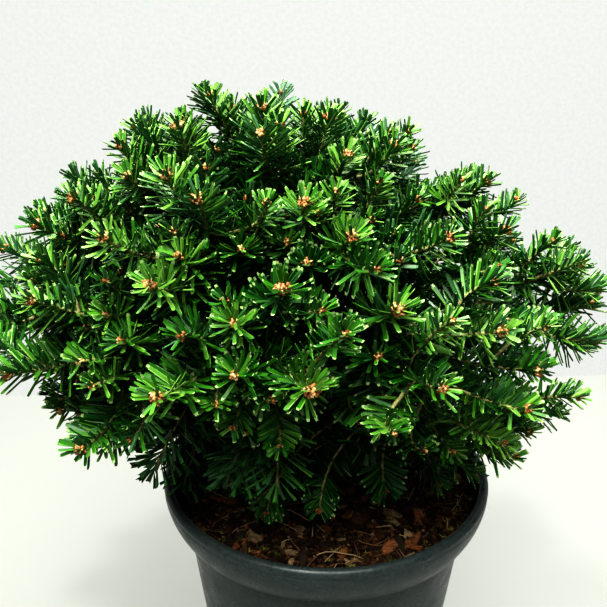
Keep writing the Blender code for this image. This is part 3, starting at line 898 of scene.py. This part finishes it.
def add_bud(pile, foot, way, length, radius, chance, slot):
    """An egg-shaped bud with slightly uneven scales, from a foot sunk in the shoot to a blunt point."""
    side, top = square_to(way)
    turns = np.arange(BUD_SIDES) * math.tau / BUD_SIDES
    rings = []
    for number, (station, width) in enumerate(BUD_STATIONS):
        wave = 1 + BUD_LOBE_DEPTH * np.cos(turns * BUD_LOBES + number * BUD_TWIST)
        wave += chance.uniform(-BUD_UNEVENNESS, BUD_UNEVENNESS, BUD_SIDES)
        ring = top * np.cos(turns)[:, None] + side * np.sin(turns)[:, None]
        rings.append(foot + way * (length * station) + ring * (radius * width * wave)[:, None])
    points = np.concatenate([*rings, [foot - way * radius * BUD_SUNK, foot + way * length]])
    pile.add(points, *BUD_FACES, slot, slot)


def grow_buds(pile, shoot, chance):
    """A packed oval cluster, whose outer buds lean out."""
    tip = shoot["line"][-1]
    axis = unit(tip - shoot["line"][-2])
    side, top = square_to(axis)
    size = min(shoot["size"], CLUSTER_MOST)
    counts, breadth = MAIN_CLUSTER if shoot["main"] else LATERAL_CLUSTER
    count = int(chance.integers(*counts))
    reach = CLUSTER_RADIUS * size * breadth
    start = chance.uniform(0, math.tau)
    stretch = chance.uniform(*CLUSTER_STRETCH)
    for number in range(count):
        turn = start + number * GOLDEN_ANGLE
        spread = math.sqrt(number / count)
        outward = (side * (math.cos(turn) * stretch) + top * math.sin(turn)) * spread
        way = unit(axis + outward * BUD_LEAN)
        share = chance.uniform(*BUD_RANGE)
        foot = tip - axis * (CLUSTER_SUNK + CLUSTER_DOME * spread) + outward * reach
        length, radius = BUD_SIZE * size * share, BUD_RADIUS * size * share
        add_bud(pile, foot, way, length, radius, chance, chance.integers(0, BUD_SKINS))


# Foliage pieces

# The tiers whose needles go into two pieces, and the axis that parts them
HALVES = {"skirt": ("left", "right", 0), "waist": ("front", "back", 1)}
SILVERY_LEAST = 0.55
SILVERY_BEYOND = 0.0
SILVERY_SHARE = 0.20
# Azimuth and elevation of the places at the crest where the nearest shoots are silvery too
SILVERY_PLACES = ((98.0, 78.0), (21.0, 50.0), (21.0, 39.0))
SILVERY_AT_A_PLACE = 2
SHOOT_RANGE = (0.82, 1.06)
MAIN_SIZE = 1.16
# Painted shade: an inner shoot's green, what an outer one gains in painted light, and how they stray at
# random; and the share of pale-ended needles
PAINTED_SHADE_INSIDE = 1.0
OUTER_PAINTED_LIGHT_GAIN = 2.4
SHADE_STRAY = 0.7
PALE_SHARE = (0.66, 0.18)
PALE_LIMITS = (0.1, 0.98)
FLATNESS_RANGE = (0.7, 1.3)
FLAT_PALE = 0.35
FLAT_AT = 0.25
PARTED_SHARE = 0.34
PARTED_FLATNESS = 0.62


def piece_of(mass):
    """The name of the piece that a mass's needles go into."""
    if mass["tier"] not in HALVES:
        return mass["tier"]
    first, second, axis = HALVES[mass["tier"]]
    return mass["tier"] + "_" + (first if mass["direction"][axis] < 0 else second)


def dress_shoots(masses, chance):
    """Gives every shoot its size, its shade of green, darker the deeper its tip lies in the crown as painted
    shade, its underside and its share of pale-ended needles.
    """
    for mass in masses:
        for shoot in mass["mains"] + mass["laterals"] + mass["inner"]:
            shoot["size"] = float(chance.uniform(*SHOOT_RANGE)) * (MAIN_SIZE if shoot["main"] else 1.0)
            shoot["breadth"] = shoot["size"] ** 0.5
            # Painted shade: a shoot whose tip lies deeper in the crown takes a darker green; the stray is
            # random tone.
            outer = 1 - shoot["recess"] / LATERAL_RECESS
            shade = PAINTED_SHADE_INSIDE + OUTER_PAINTED_LIGHT_GAIN * outer + chance.normal(0, SHADE_STRAY)
            shoot["shade"] = int(np.clip(round(shade), 0, SHADES - 1))
            shoot["pale"] = float(np.clip(chance.normal(*PALE_SHARE), *PALE_LIMITS))
            rise = unit(shoot["line"][-1] - HEART)[2]
            behind = (shoot["line"][-1] - HEART)[1] > SILVERY_BEYOND
            shoot["silvery"] = bool(behind and rise > SILVERY_LEAST and chance.random() < SILVERY_SHARE)
            shoot["flatness"] = float(np.clip(FLAT_AT - rise, 0.0, 1.0) * chance.uniform(*FLATNESS_RANGE))
            if chance.random() < PARTED_SHARE:
                shoot["flatness"] = max(shoot["flatness"], PARTED_FLATNESS)
            shoot["flatness"] = min(1.0, shoot["flatness"])
            shoot["pale"] *= 1 - (1 - FLAT_PALE) * shoot["flatness"]
        # Older twigs inside the crown take one of the two darkest greens: partly old needles' darker green,
        # partly painted shade.
        for shoot in mass["inner"]:
            shoot.update(shade=int(chance.integers(0, INNER_OLD_AND_SHADED_GREENS)), pale=0.0, silvery=False, flatness=0.0)
            shoot.update(size=INNER_SIZE, breadth=INNER_BREADTH)
    shoots = [shoot for mass in masses for shoot in mass["mains"] + mass["laterals"]]
    ways = unit(np.array([shoot["line"][-1] - HEART for shoot in shoots]))
    for azimuth, elevation in SILVERY_PLACES:
        place = direction_of(math.radians(azimuth), math.radians(elevation))
        for number in np.argsort(-(ways @ place))[:SILVERY_AT_A_PLACE]:
            shoots[number]["silvery"] = True


def make_foliage(masses):
    chance = np.random.default_rng(SEED)
    dress_shoots(masses, chance)
    materials = needle_materials()
    needles, twigs, buds = {}, Pile(), Pile()
    stands_for = {}
    for mass in masses:
        name = piece_of(mass)
        pile = needles.setdefault(name, Pile())
        stands_for.setdefault(name, []).append("foliage_" + mass["name"])
        stem = np.linspace(mass["stem_foot"], mass["hub"], STEM_RINGS)
        tube(twigs, stem, np.linspace(BOUGH_TIP_RADIUS, TWIG_FOOT_RADIUS, STEM_RINGS), STEM_SIDES)
        for shoot in mass["mains"] + mass["laterals"]:
            radii = np.linspace(TWIG_FOOT_RADIUS, TWIG_RADIUS, len(shoot["line"]))
            tube(twigs, shoot["line"], radii, TWIG_SIDES)
            grow_needles(pile, shoot, OUTER_ZONES, chance)
            grow_buds(buds, shoot, chance)
        for shoot in mass["inner"]:
            tube(twigs, shoot["line"], np.full(len(shoot["line"]), TWIG_RADIUS), INNER_SIDES)
            grow_needles(pile, shoot, INNER_ZONES, chance)
    for name, pile in needles.items():
        piece = pile.to_object("needles_" + name, materials)
        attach(piece, "root")
        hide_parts(*stands_for[name])
    twig_bark = bark("twig_bark", (0.070, 0.060, 0.022), (0.34, 0.34, 0.15), 420.0, (1.0, 1.0, 1.0))
    piece = twigs.to_object("twigs", [twig_bark], smooth=True)
    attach(piece, "root")
    bud_skins = [
        bud_scales("bud_brown", (0.110, 0.042, 0.013), (0.400, 0.190, 0.066)),
        bud_scales("bud_orange", (0.180, 0.075, 0.024), (0.500, 0.270, 0.100)),
        bud_scales("bud_tan", (0.260, 0.150, 0.066), (0.600, 0.430, 0.220)),
    ]
    piece = buds.to_object("buds", bud_skins, smooth=True)
    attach(piece, "root")


# Trunk and boughs

# The relief of the bark: how fine it is round and along the limb, and its depth
TRUNK_RELIEF = ((2.2, 2.2, 90.0), 0.0009)
TRUNK_RINGS = 140
TRUNK_SIDES = 40
BOUGH_RELIEF = ((1.5, 1.5, 1.5), 0.00035)
BOUGH_RELIEF_RUN = 10
BOUGH_FLARE_END = 12
BOUGH_RINGS = 26
BOUGH_SIDES = 10
BOUGH_SMOOTHINGS = 8


def relief(along, sides, fineness, depth):
    """A bark relief for each ring and side of a limb: ridges that run along it."""
    turns = np.arange(sides) * math.tau / sides
    around = np.stack([np.cos(turns), np.sin(turns)], -1)
    heights = [
        [noise.fractal(Vector(np.array([*way, place]) * fineness), 1.0, 2.2, 4) for way in around]
        for place in along
    ]
    return np.array(heights) * depth


def make_trunk(material):
    heights = np.linspace(TRUNK_FOOT - TRUNK_SUNK, TRUNK_TOP, TRUNK_RINGS)
    line = np.array([trunk_point(max(height, TRUNK_FOOT)) for height in heights])
    line[:, 2] = heights
    radii = np.array([trunk_radius(max(height, TRUNK_FOOT)) for height in heights])
    pile = Pile()
    tube(pile, line, radii[:, None] + relief(heights, TRUNK_SIDES, *TRUNK_RELIEF), TRUNK_SIDES)
    piece = pile.to_object("trunk_bark", [material], smooth=True)
    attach(piece, "root")
    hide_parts("trunk")


def smooth_line(points, count):
    """A smooth line through a bough's few points."""
    run = run_along(points)
    line = points_at(points, run, np.linspace(0.0, run[-1], count))
    for _ in range(BOUGH_SMOOTHINGS):
        line[1:-1] = (line[:-2] + 2 * line[1:-1] + line[2:]) / 4
    return line


def make_boughs(masses, material):
    pile = Pile()
    names = []
    share = np.linspace(0.0, 1.0, BOUGH_RINGS)
    radii = BOUGH_RADIUS + (BOUGH_TIP_RADIUS - BOUGH_RADIUS) * share
    radii += BOUGH_RADIUS * (BOUGH_FLARE - 1) * np.exp(-share * BOUGH_FLARE_END)
    for mass in masses:
        if "bough" in mass:
            bumps = relief(share * BOUGH_RELIEF_RUN + len(names), BOUGH_SIDES, *BOUGH_RELIEF)
            tube(pile, smooth_line(mass["bough"], BOUGH_RINGS), radii[:, None] + bumps, BOUGH_SIDES)
            names.append("bough_" + mass["name"])
    piece = pile.to_object("boughs_bark", [material], smooth=True)
    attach(piece, "root")
    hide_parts(*names)


# Pot

COLLAR_FOOT = POT_HEIGHT - COLLAR_HEIGHT
LIP_CENTRE = (RIM_RADIUS - LIP_RADIUS, POT_HEIGHT - LIP_RADIUS)
INSIDE_TOP = LIP_CENTRE[1] - 0.004
# The lip's arc, and the sections inside and outside the collar and down the body: first, last and number
LIP_ARC = (205, -35, 22)
INSIDE_SHARES = (0.15, 1.0, 8)
OUTSIDE_SHARES = (0.94, 0.06, 16)
BODY_HEIGHTS = (COLLAR_FOOT - 0.004, FOOT_BEVEL * 2, 30)
COLLAR_EDGE = (0.0005, 0.0006)
COLLAR_FILLET = 0.0014
POT_SHARPEST = 50


def outer_radius(height):
    """The pot's outer radius: a straight body, then a collar that curves out to the lip."""
    if height < COLLAR_FOOT:
        return BASE_RADIUS + (BODY_TOP_RADIUS - BASE_RADIUS) * height / COLLAR_FOOT
    share = min(1.0, (height - COLLAR_FOOT) / (LIP_CENTRE[1] - COLLAR_FOOT))
    return COLLAR_FOOT_RADIUS + (RIM_RADIUS - COLLAR_FOOT_RADIUS) * (1 - (1 - share) ** 2)


def arc(centre, radius, start, end, count):
    turns = np.radians(np.linspace(start, end, count))
    return [(centre[0] + radius * math.cos(turn), centre[1] + radius * math.sin(turn)) for turn in turns]


def pot_profile():
    """From the inner floor's middle up the inside, over the lip, down the outside and under."""
    step = COLLAR_FOOT + WALL
    profile = [(0.0, FLOOR_THICKNESS), (outer_radius(FLOOR_THICKNESS) - WALL, FLOOR_THICKNESS)]
    profile += [(BODY_TOP_RADIUS - WALL, step), (COLLAR_FOOT_RADIUS - WALL, step)]
    for height in step + np.linspace(*INSIDE_SHARES) * (INSIDE_TOP - step):
        profile.append((outer_radius(height) - WALL, height))
    profile += arc(LIP_CENTRE, LIP_RADIUS, *LIP_ARC)
    outside = COLLAR_FOOT + np.linspace(*OUTSIDE_SHARES) * (profile[-1][1] - COLLAR_FOOT)
    profile += [(outer_radius(height), height) for height in outside]
    profile.append((COLLAR_FOOT_RADIUS, COLLAR_FOOT + COLLAR_EDGE[1]))
    profile.append((COLLAR_FOOT_RADIUS - COLLAR_EDGE[0], COLLAR_FOOT))
    fillet_centre = (BODY_TOP_RADIUS + COLLAR_FILLET, COLLAR_FOOT - COLLAR_FILLET)
    profile += arc(fillet_centre, COLLAR_FILLET, 90, 180, 6)
    profile += [(outer_radius(height), height) for height in np.linspace(*BODY_HEIGHTS)]
    profile += arc((BASE_RADIUS - FOOT_BEVEL, FOOT_BEVEL), FOOT_BEVEL, 0, -90, 8)
    profile.append((0.0, 0.0))
    return profile


def drain_cutter():
    """Upright rods where the floor's drain holes go."""
    pile = Pile()
    for number in range(DRAIN_COUNT):
        place = DRAIN_CIRCLE * direction_of(math.tau * number / DRAIN_COUNT)
        line = place + UP * np.linspace(-FLOOR_THICKNESS, 2 * FLOOR_THICKNESS, 2)[:, None]
        tube(pile, line, np.full(2, DRAIN_RADIUS), DRAIN_SIDES)
    return pile.to_object("drain_cutter", [])


def make_pot():
    pile = Pile()
    turned(pile, pot_profile(), POT_SEGMENTS)
    piece = pile.to_object("pot_moulded", [pot_plastic()], smooth=True)
    cutter = drain_cutter()
    holes = piece.modifiers.new("drain_holes", "BOOLEAN")
    holes.object = cutter
    holes.operation = "DIFFERENCE"
    holes.solver = "EXACT"
    made = piece.evaluated_get(bpy.context.evaluated_depsgraph_get())
    holed = bpy.data.meshes.new_from_object(made)
    piece.modifiers.clear()
    piece.data = holed
    bpy.data.objects.remove(cutter)
    piece.data.set_sharp_from_angle(angle=math.radians(POT_SHARPEST))
    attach(piece, "root")
    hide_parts("pot")


# Compost and what lies on it

BED_RADIUS = outer_radius(COMPOST_EDGE) - WALL
BED_RINGS = 76
BED_SEGMENTS = 190
MOUND_POWER = 1.5
BED_SUNK = 0.001
# The noises of the bed: how fine they are, and the layer that they are read at
LUMP_NOISE = (42.0, 3.0)
GRAIN_NOISE = (900.0, 7.0)
# Keeps a division sound on the pot's axis
TINY = 1e-9


def noise_place(x, y, fineness, layer):
    return Vector((x * fineness, y * fineness, layer))


def compost_height(x, y):
    """The bed's height at a place, before its finest grain."""
    outward = min(1.0, math.hypot(x, y) / BED_RADIUS)
    bed = COMPOST_MOUND + (COMPOST_EDGE - COMPOST_MOUND) * outward**MOUND_POWER
    lump = noise.fractal(noise_place(x, y, *LUMP_NOISE), 1.0, 2.0, 4)
    return bed + lump * COMPOST_LUMP - BED_SUNK


def make_compost():
    """The bed's uneven top, and its sides and bottom just inside the pot."""
    turns = [math.tau * segment / BED_SEGMENTS for segment in range(BED_SEGMENTS)]
    points = []
    for ring in range(1, BED_RINGS + 1):
        radius = (BED_RADIUS - COMPOST_GAP) * ring / BED_RINGS
        for turn in turns:
            x, y = radius * math.cos(turn), radius * math.sin(turn)
            grain = noise.noise(noise_place(x, y, *GRAIN_NOISE))
            points.append((x, y, compost_height(x, y) + grain * COMPOST_GRAIN))
    step, low = COLLAR_FOOT + WALL + COMPOST_GAP, FLOOR_THICKNESS + COMPOST_GAP
    sides = ((COLLAR_FOOT_RADIUS, step), (BODY_TOP_RADIUS, step), (outer_radius(FLOOR_THICKNESS), low))
    for outer, height in sides:
        radius = outer - WALL - COMPOST_GAP
        points += [(radius * math.cos(turn), radius * math.sin(turn), height) for turn in turns]
    points += [(0.0, 0.0, compost_height(0.0, 0.0)), (0.0, 0.0, low)]
    pile = Pile()
    pile.add(within_pot(points), *ring_faces(BED_RINGS + len(sides), BED_SEGMENTS, turned_over=True))
    piece = pile.to_object("compost_bed", [compost_mould()], smooth=True)
    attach(piece, "root")
    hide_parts("compost")


# Splinters: sizes, shares of their length, and how often each shade comes
CHIP_COUNT = 700
CHIP_LENGTHS = (0.0035, 0.0160)
CHIP_POWER = 2.2
CHIP_WIDTHS = (0.22, 0.62)
CHIP_THICKNESSES = (0.10, 0.22)
CHIP_THICKEST = 0.0020
CHIP_RISES = (-0.2, 0.6)
CHIP_LEAN = 0.30
CHIP_BEND = 0.12
CHIP_STRAY = (0.7, 1.1)
CHIP_SHADES = (0.32, 0.36, 0.17, 0.15)
CHIP_OUTLINE = ((-0.5, -0.18), (-0.1, -0.5), (0.38, -0.36), (0.5, 0.12), (0.12, 0.5), (-0.36, 0.34))
CHIP_FACES = [(i, (i + 1) % 6, (i + 1) % 6 + 6, i + 6) for i in range(6)]
CHIP_FACES += [(6, 7, 8, 9), (6, 9, 10, 11), (3, 2, 1, 0), (5, 4, 3, 0)]
CRUMB_COUNT = 2800
CRUMB_SIZES = (0.0006, 0.0022)
CRUMB_POWER = 2
CRUMB_RISES = (0.0, 0.5)
CRUMB_REACHES = (0.5, 1.1)
CRUMB_LEAN = 1.0
CRUMB_SHADES = (0.50, 0.32, 0.10, 0.08)
CRUMB_FACES = [(0, 2, 4), (2, 1, 4), (1, 3, 4), (3, 0, 4), (2, 0, 5), (1, 2, 5), (3, 1, 5), (0, 3, 5)]
CHIP_MARGIN = 0.004

STRAW_COUNT = 190
STRAW_LENGTHS = (0.006, 0.028)
STRAW_POWER = 2
STRAW_BOW = 0.25
STRAW_LIFT = 0.16
STRAW_CLEAR = 0.0013
STRAW_RADII = (0.00016, 0.00038)
STRAW_POINTS = 6
STRAW_SIDES = 5
STRAW_SHADES = (0.25, 0.40, 0.35)
STRAW_MARGIN = 0.008

MOSS_COUNT = 150
MOSS_LEAVES = 8
MOSS_SHADES = 2
MOSS_SPREAD = 1.1
MOSS_BAND = 0.28
MOSS_LEAN = 0.5
MOSS_LENGTHS = (0.0014, 0.0034)
MOSS_RISES = (0.2, 1.4)
MOSS_BREADTH = 0.0004
MOSS_FACES = [(0, 3, 1), (1, 3, 2), (2, 3, 0), (0, 1, 2)]
MOSS_MARGIN = 0.005


def mostly_small(chance, sizes, power):
    """A size between two, the more often a small one the higher the power."""
    return sizes[0] + (sizes[1] - sizes[0]) * chance.random() ** power


def on_bed(radius, turn):
    """The bed's point at a radius and a turn about the pot's axis."""
    place = radius * direction_of(turn)
    place[2] = compost_height(place[0], place[1])
    return place


def place_on_bed(chance, reach):
    """A place on the compost, clear of the trunk."""
    radius = 0.0
    while radius <= TRUNK_FLARE_RADIUS:
        radius = reach * math.sqrt(chance.random())
        turn = chance.uniform(0, math.tau)
    return on_bed(radius, turn)


def within_pot(points):
    """The points, drawn in where they would reach the pot's inner side."""
    points = np.array(points)
    inside = np.array([outer_radius(height) for height in points[:, 2]]) - WALL - COMPOST_GAP
    radius = np.hypot(points[:, 0], points[:, 1])
    points[:, :2] *= np.minimum(1.0, inside / np.maximum(radius, TINY))[:, None]
    return points


def flake(pile, place, along, across, above, length, width, thickness, chance, shade):
    """A splinter of bark: an uneven six-cornered slab with narrowed ends, a little bent."""
    corners = []
    bend = chance.uniform(-CHIP_BEND, CHIP_BEND) * length
    stray = chance.uniform(*CHIP_STRAY, (len(CHIP_OUTLINE), 2))
    for layer in (-0.5, 0.5):
        for (a, b), (c, d) in zip(CHIP_OUTLINE, stray):
            spot = place + along * (a * c * length) + across * (b * d * width)
            corners.append(spot + above * (layer * thickness + bend * a * a))
    pile.add(within_pot(corners), CHIP_FACES, (), shade)


def lying(chance, lean):
    """The along, across and upward ways of something that lies at a slight angle."""
    ahead = direction_of(chance.uniform(0, math.tau))
    tips = chance.normal(0.0, lean, 2)
    along = unit(ahead + UP * tips[0])
    across = unit(np.array([-ahead[1], ahead[0], tips[1]]))
    return along, across, unit(np.cross(along, across))


def make_chips():
    """Splinters of bark among crumbs of peat."""
    chance = np.random.default_rng(SEED + 3)
    pile = Pile()
    reach = BED_RADIUS - CHIP_MARGIN
    for _ in range(CHIP_COUNT):
        length = mostly_small(chance, CHIP_LENGTHS, CHIP_POWER)
        width = length * chance.uniform(*CHIP_WIDTHS)
        thickness = min(CHIP_THICKEST, length * chance.uniform(*CHIP_THICKNESSES))
        place = place_on_bed(chance, reach - length / 3) + UP * thickness * chance.uniform(*CHIP_RISES)
        shade = int(chance.choice(len(CHIP_SHADES), p=CHIP_SHADES))
        flake(pile, place, *lying(chance, CHIP_LEAN), length, width, thickness, chance, shade)
    for _ in range(CRUMB_COUNT):
        size = mostly_small(chance, CRUMB_SIZES, CRUMB_POWER)
        place = place_on_bed(chance, reach) + UP * size * chance.uniform(*CRUMB_RISES)
        ways = lying(chance, CRUMB_LEAN)
        points = [
            place + way * (side * size * chance.uniform(*CRUMB_REACHES)) for way in ways for side in (1, -1)
        ]
        shade = int(chance.choice(len(CRUMB_SHADES), p=CRUMB_SHADES))
        pile.add(within_pot(points), (), CRUMB_FACES, 0, shade)
    materials = [
        chip("chip_dark", (0.010, 0.005, 0.003), (0.042, 0.021, 0.010)),
        chip("chip_brown", (0.036, 0.015, 0.006), (0.125, 0.058, 0.026)),
        chip("chip_orange", (0.110, 0.042, 0.014), (0.340, 0.155, 0.060)),
        chip("chip_pale", (0.110, 0.073, 0.038), (0.330, 0.245, 0.140)),
    ]
    piece = pile.to_object("bark_chips", materials)
    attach(piece, "root")


def make_straws():
    """Thin straws, rootlets and shed needles on the bed."""
    chance = np.random.default_rng(SEED + 4)
    pile = Pile()
    reach = BED_RADIUS - STRAW_MARGIN
    for _ in range(STRAW_COUNT):
        place = place_on_bed(chance, reach)
        length = mostly_small(chance, STRAW_LENGTHS, STRAW_POWER)
        along = direction_of(chance.uniform(0, math.tau))
        across = np.array([-along[1], along[0], 0.0])
        bow = chance.uniform(-STRAW_BOW, STRAW_BOW)
        lift = chance.uniform(0.0, STRAW_LIFT)
        line = []
        for share in np.linspace(-0.5, 0.5, STRAW_POINTS):
            spot = place + along * (length * share) + across * (length * bow * (0.25 - share**2))
            spot[:2] *= min(1.0, reach / max(np.hypot(spot[0], spot[1]), TINY))
            spot[2] = compost_height(spot[0], spot[1]) + STRAW_CLEAR + lift * length * (share + 0.5)
            line.append(spot)
        radii = np.full(STRAW_POINTS, chance.uniform(*STRAW_RADII))
        shade = int(chance.choice(len(STRAW_SHADES), p=STRAW_SHADES))
        tube(pile, np.array(line), radii, STRAW_SIDES, shade)
    materials = [
        surface("straw_pale", (0.36, 0.27, 0.15), 0.7),
        surface("straw_tan", (0.19, 0.105, 0.048), 0.8),
        surface("rootlet_dark", (0.035, 0.020, 0.012), 0.9),
    ]
    piece = pile.to_object("straws", materials, smooth=True)
    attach(piece, "root")


def make_moss():
    """Small yellow-green tufts, most of them near the rim."""
    chance = np.random.default_rng(SEED + 6)
    pile = Pile()
    for _ in range(MOSS_COUNT):
        turn = -math.pi / 2 + chance.normal(0.0, MOSS_SPREAD)
        radius = (BED_RADIUS - MOSS_MARGIN) * (1 - MOSS_BAND * chance.random() ** 2)
        foot = on_bed(radius, turn)
        shade = int(chance.integers(0, MOSS_SHADES))
        for _ in range(MOSS_LEAVES):
            along, across, above = lying(chance, MOSS_LEAN)
            length = chance.uniform(*MOSS_LENGTHS)
            way = unit(along + UP * chance.uniform(*MOSS_RISES))
            base = [foot + side * MOSS_BREADTH for side in (-across, above, across)]
            pile.add([*base, foot + way * length], (), MOSS_FACES, 0, shade)
    materials = [
        surface("moss_green", (0.075, 0.110, 0.018), 0.8),
        surface("moss_yellow", (0.230, 0.230, 0.060), 0.8),
    ]
    piece = pile.to_object("moss", materials)
    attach(piece, "root")


# Stage, light and camera


def make_stage():
    """A table whose far edge shows where the photograph has it, and a wall beyond it. Both glow a little."""
    glow = (*TABLE_COLOUR, 1.0)
    table_skin = surface("table_pale", TABLE_COLOUR, 0.6, Emission_Strength=TABLE_GLOW, Emission_Color=glow)
    wall_skin = surface("wall_paper", WALL_COLOUR, 0.9, Emission_Strength=WALL_GLOW)
    paper = add_noise(wall_skin, 120.0, 8.0)
    add_ramp(wall_skin, paper, WALL_GRAIN, "Emission Color")
    add_bump(wall_skin, paper, 0.5, 0.004)
    turn = TABLE_SIDE * math.tan(math.radians(TABLE_EDGE_TURN))
    plate = (
        (-TABLE_SIDE, -TABLE_SIDE), (TABLE_SIDE, -TABLE_SIDE),
        (TABLE_SIDE, TABLE_FAR_EDGE + turn), (-TABLE_SIDE, TABLE_FAR_EDGE - turn),
    )
    slab("table", plate, -TABLE_THICKNESS, 0.0, table_skin)
    back = WALL_PLACE + WALL_THICKNESS
    screen = ((-WALL_SIDE, WALL_PLACE), (WALL_SIDE, WALL_PLACE), (WALL_SIDE, back), (-WALL_SIDE, back))
    slab("wall", screen, -WALL_SIDE, WALL_SIDE, wall_skin)


def slab(name, outline, low, high, material):
    """A flat block on a four-cornered outline."""
    pile = Pile()
    corners = [(x, y, low) for x, y in outline] + [(x, y, high) for x, y in outline]
    pile.add(corners, [(3, 2, 1, 0), (4, 5, 6, 7), (0, 1, 5, 4), (1, 2, 6, 5), (2, 3, 7, 6), (3, 0, 4, 7)])
    return pile.to_object(name, [material])


def make_light():
    world = bpy.data.worlds.new("soft_white")
    bpy.context.scene.world = world
    world.use_nodes = True
    background = world.node_tree.nodes["Background"]
    background.inputs["Color"].default_value = (*WORLD_COLOUR, 1.0)
    background.inputs["Strength"].default_value = WORLD_STRENGTH
    for name, (place, target, size, power, colour) in LIGHTS.items():
        light = bpy.data.lights.new(name, "AREA")
        light.shape = "DISK"
        light.size = size
        light.energy = power
        light.color = colour
        obj = bpy.data.objects.new(name, light)
        bpy.context.scene.collection.objects.link(obj)
        obj.location = place
        obj.rotation_euler = (Vector(target) - Vector(place)).to_track_quat("-Z", "Y").to_euler()


def make_camera():
    camera = bpy.data.cameras.new("camera")
    camera.lens = CAMERA_LENS
    camera.sensor_width = SENSOR
    camera.clip_start = CAMERA_NEAREST
    obj = bpy.data.objects.new("camera", camera)
    obj.location = CAMERA_PLACE
    obj.rotation_euler = (math.radians(90 - CAMERA_PITCH), 0.0, 0.0)
    bpy.context.scene.collection.objects.link(obj)
    bpy.context.scene.camera = obj


def main():
    make_camera()
    make_stage()
    make_light()
    bpy.context.scene.view_settings.view_transform = "Standard"
    bpy.context.scene.view_settings.look = "Very High Contrast"
    masses = plan_masses()
    plan_mains(masses)
    plan_laterals(masses)
    plan_hanging(masses)
    plan_inner_twigs(masses)
    old_bark = bark("old_bark", (0.045, 0.030, 0.020), (0.150, 0.105, 0.070), 120.0, (1.0, 1.0, 0.35))
    make_trunk(old_bark)
    make_boughs(masses, old_bark)
    make_foliage(masses)
    make_pot()
    make_compost()
    make_chips()
    make_straws()
    make_moss()


main()
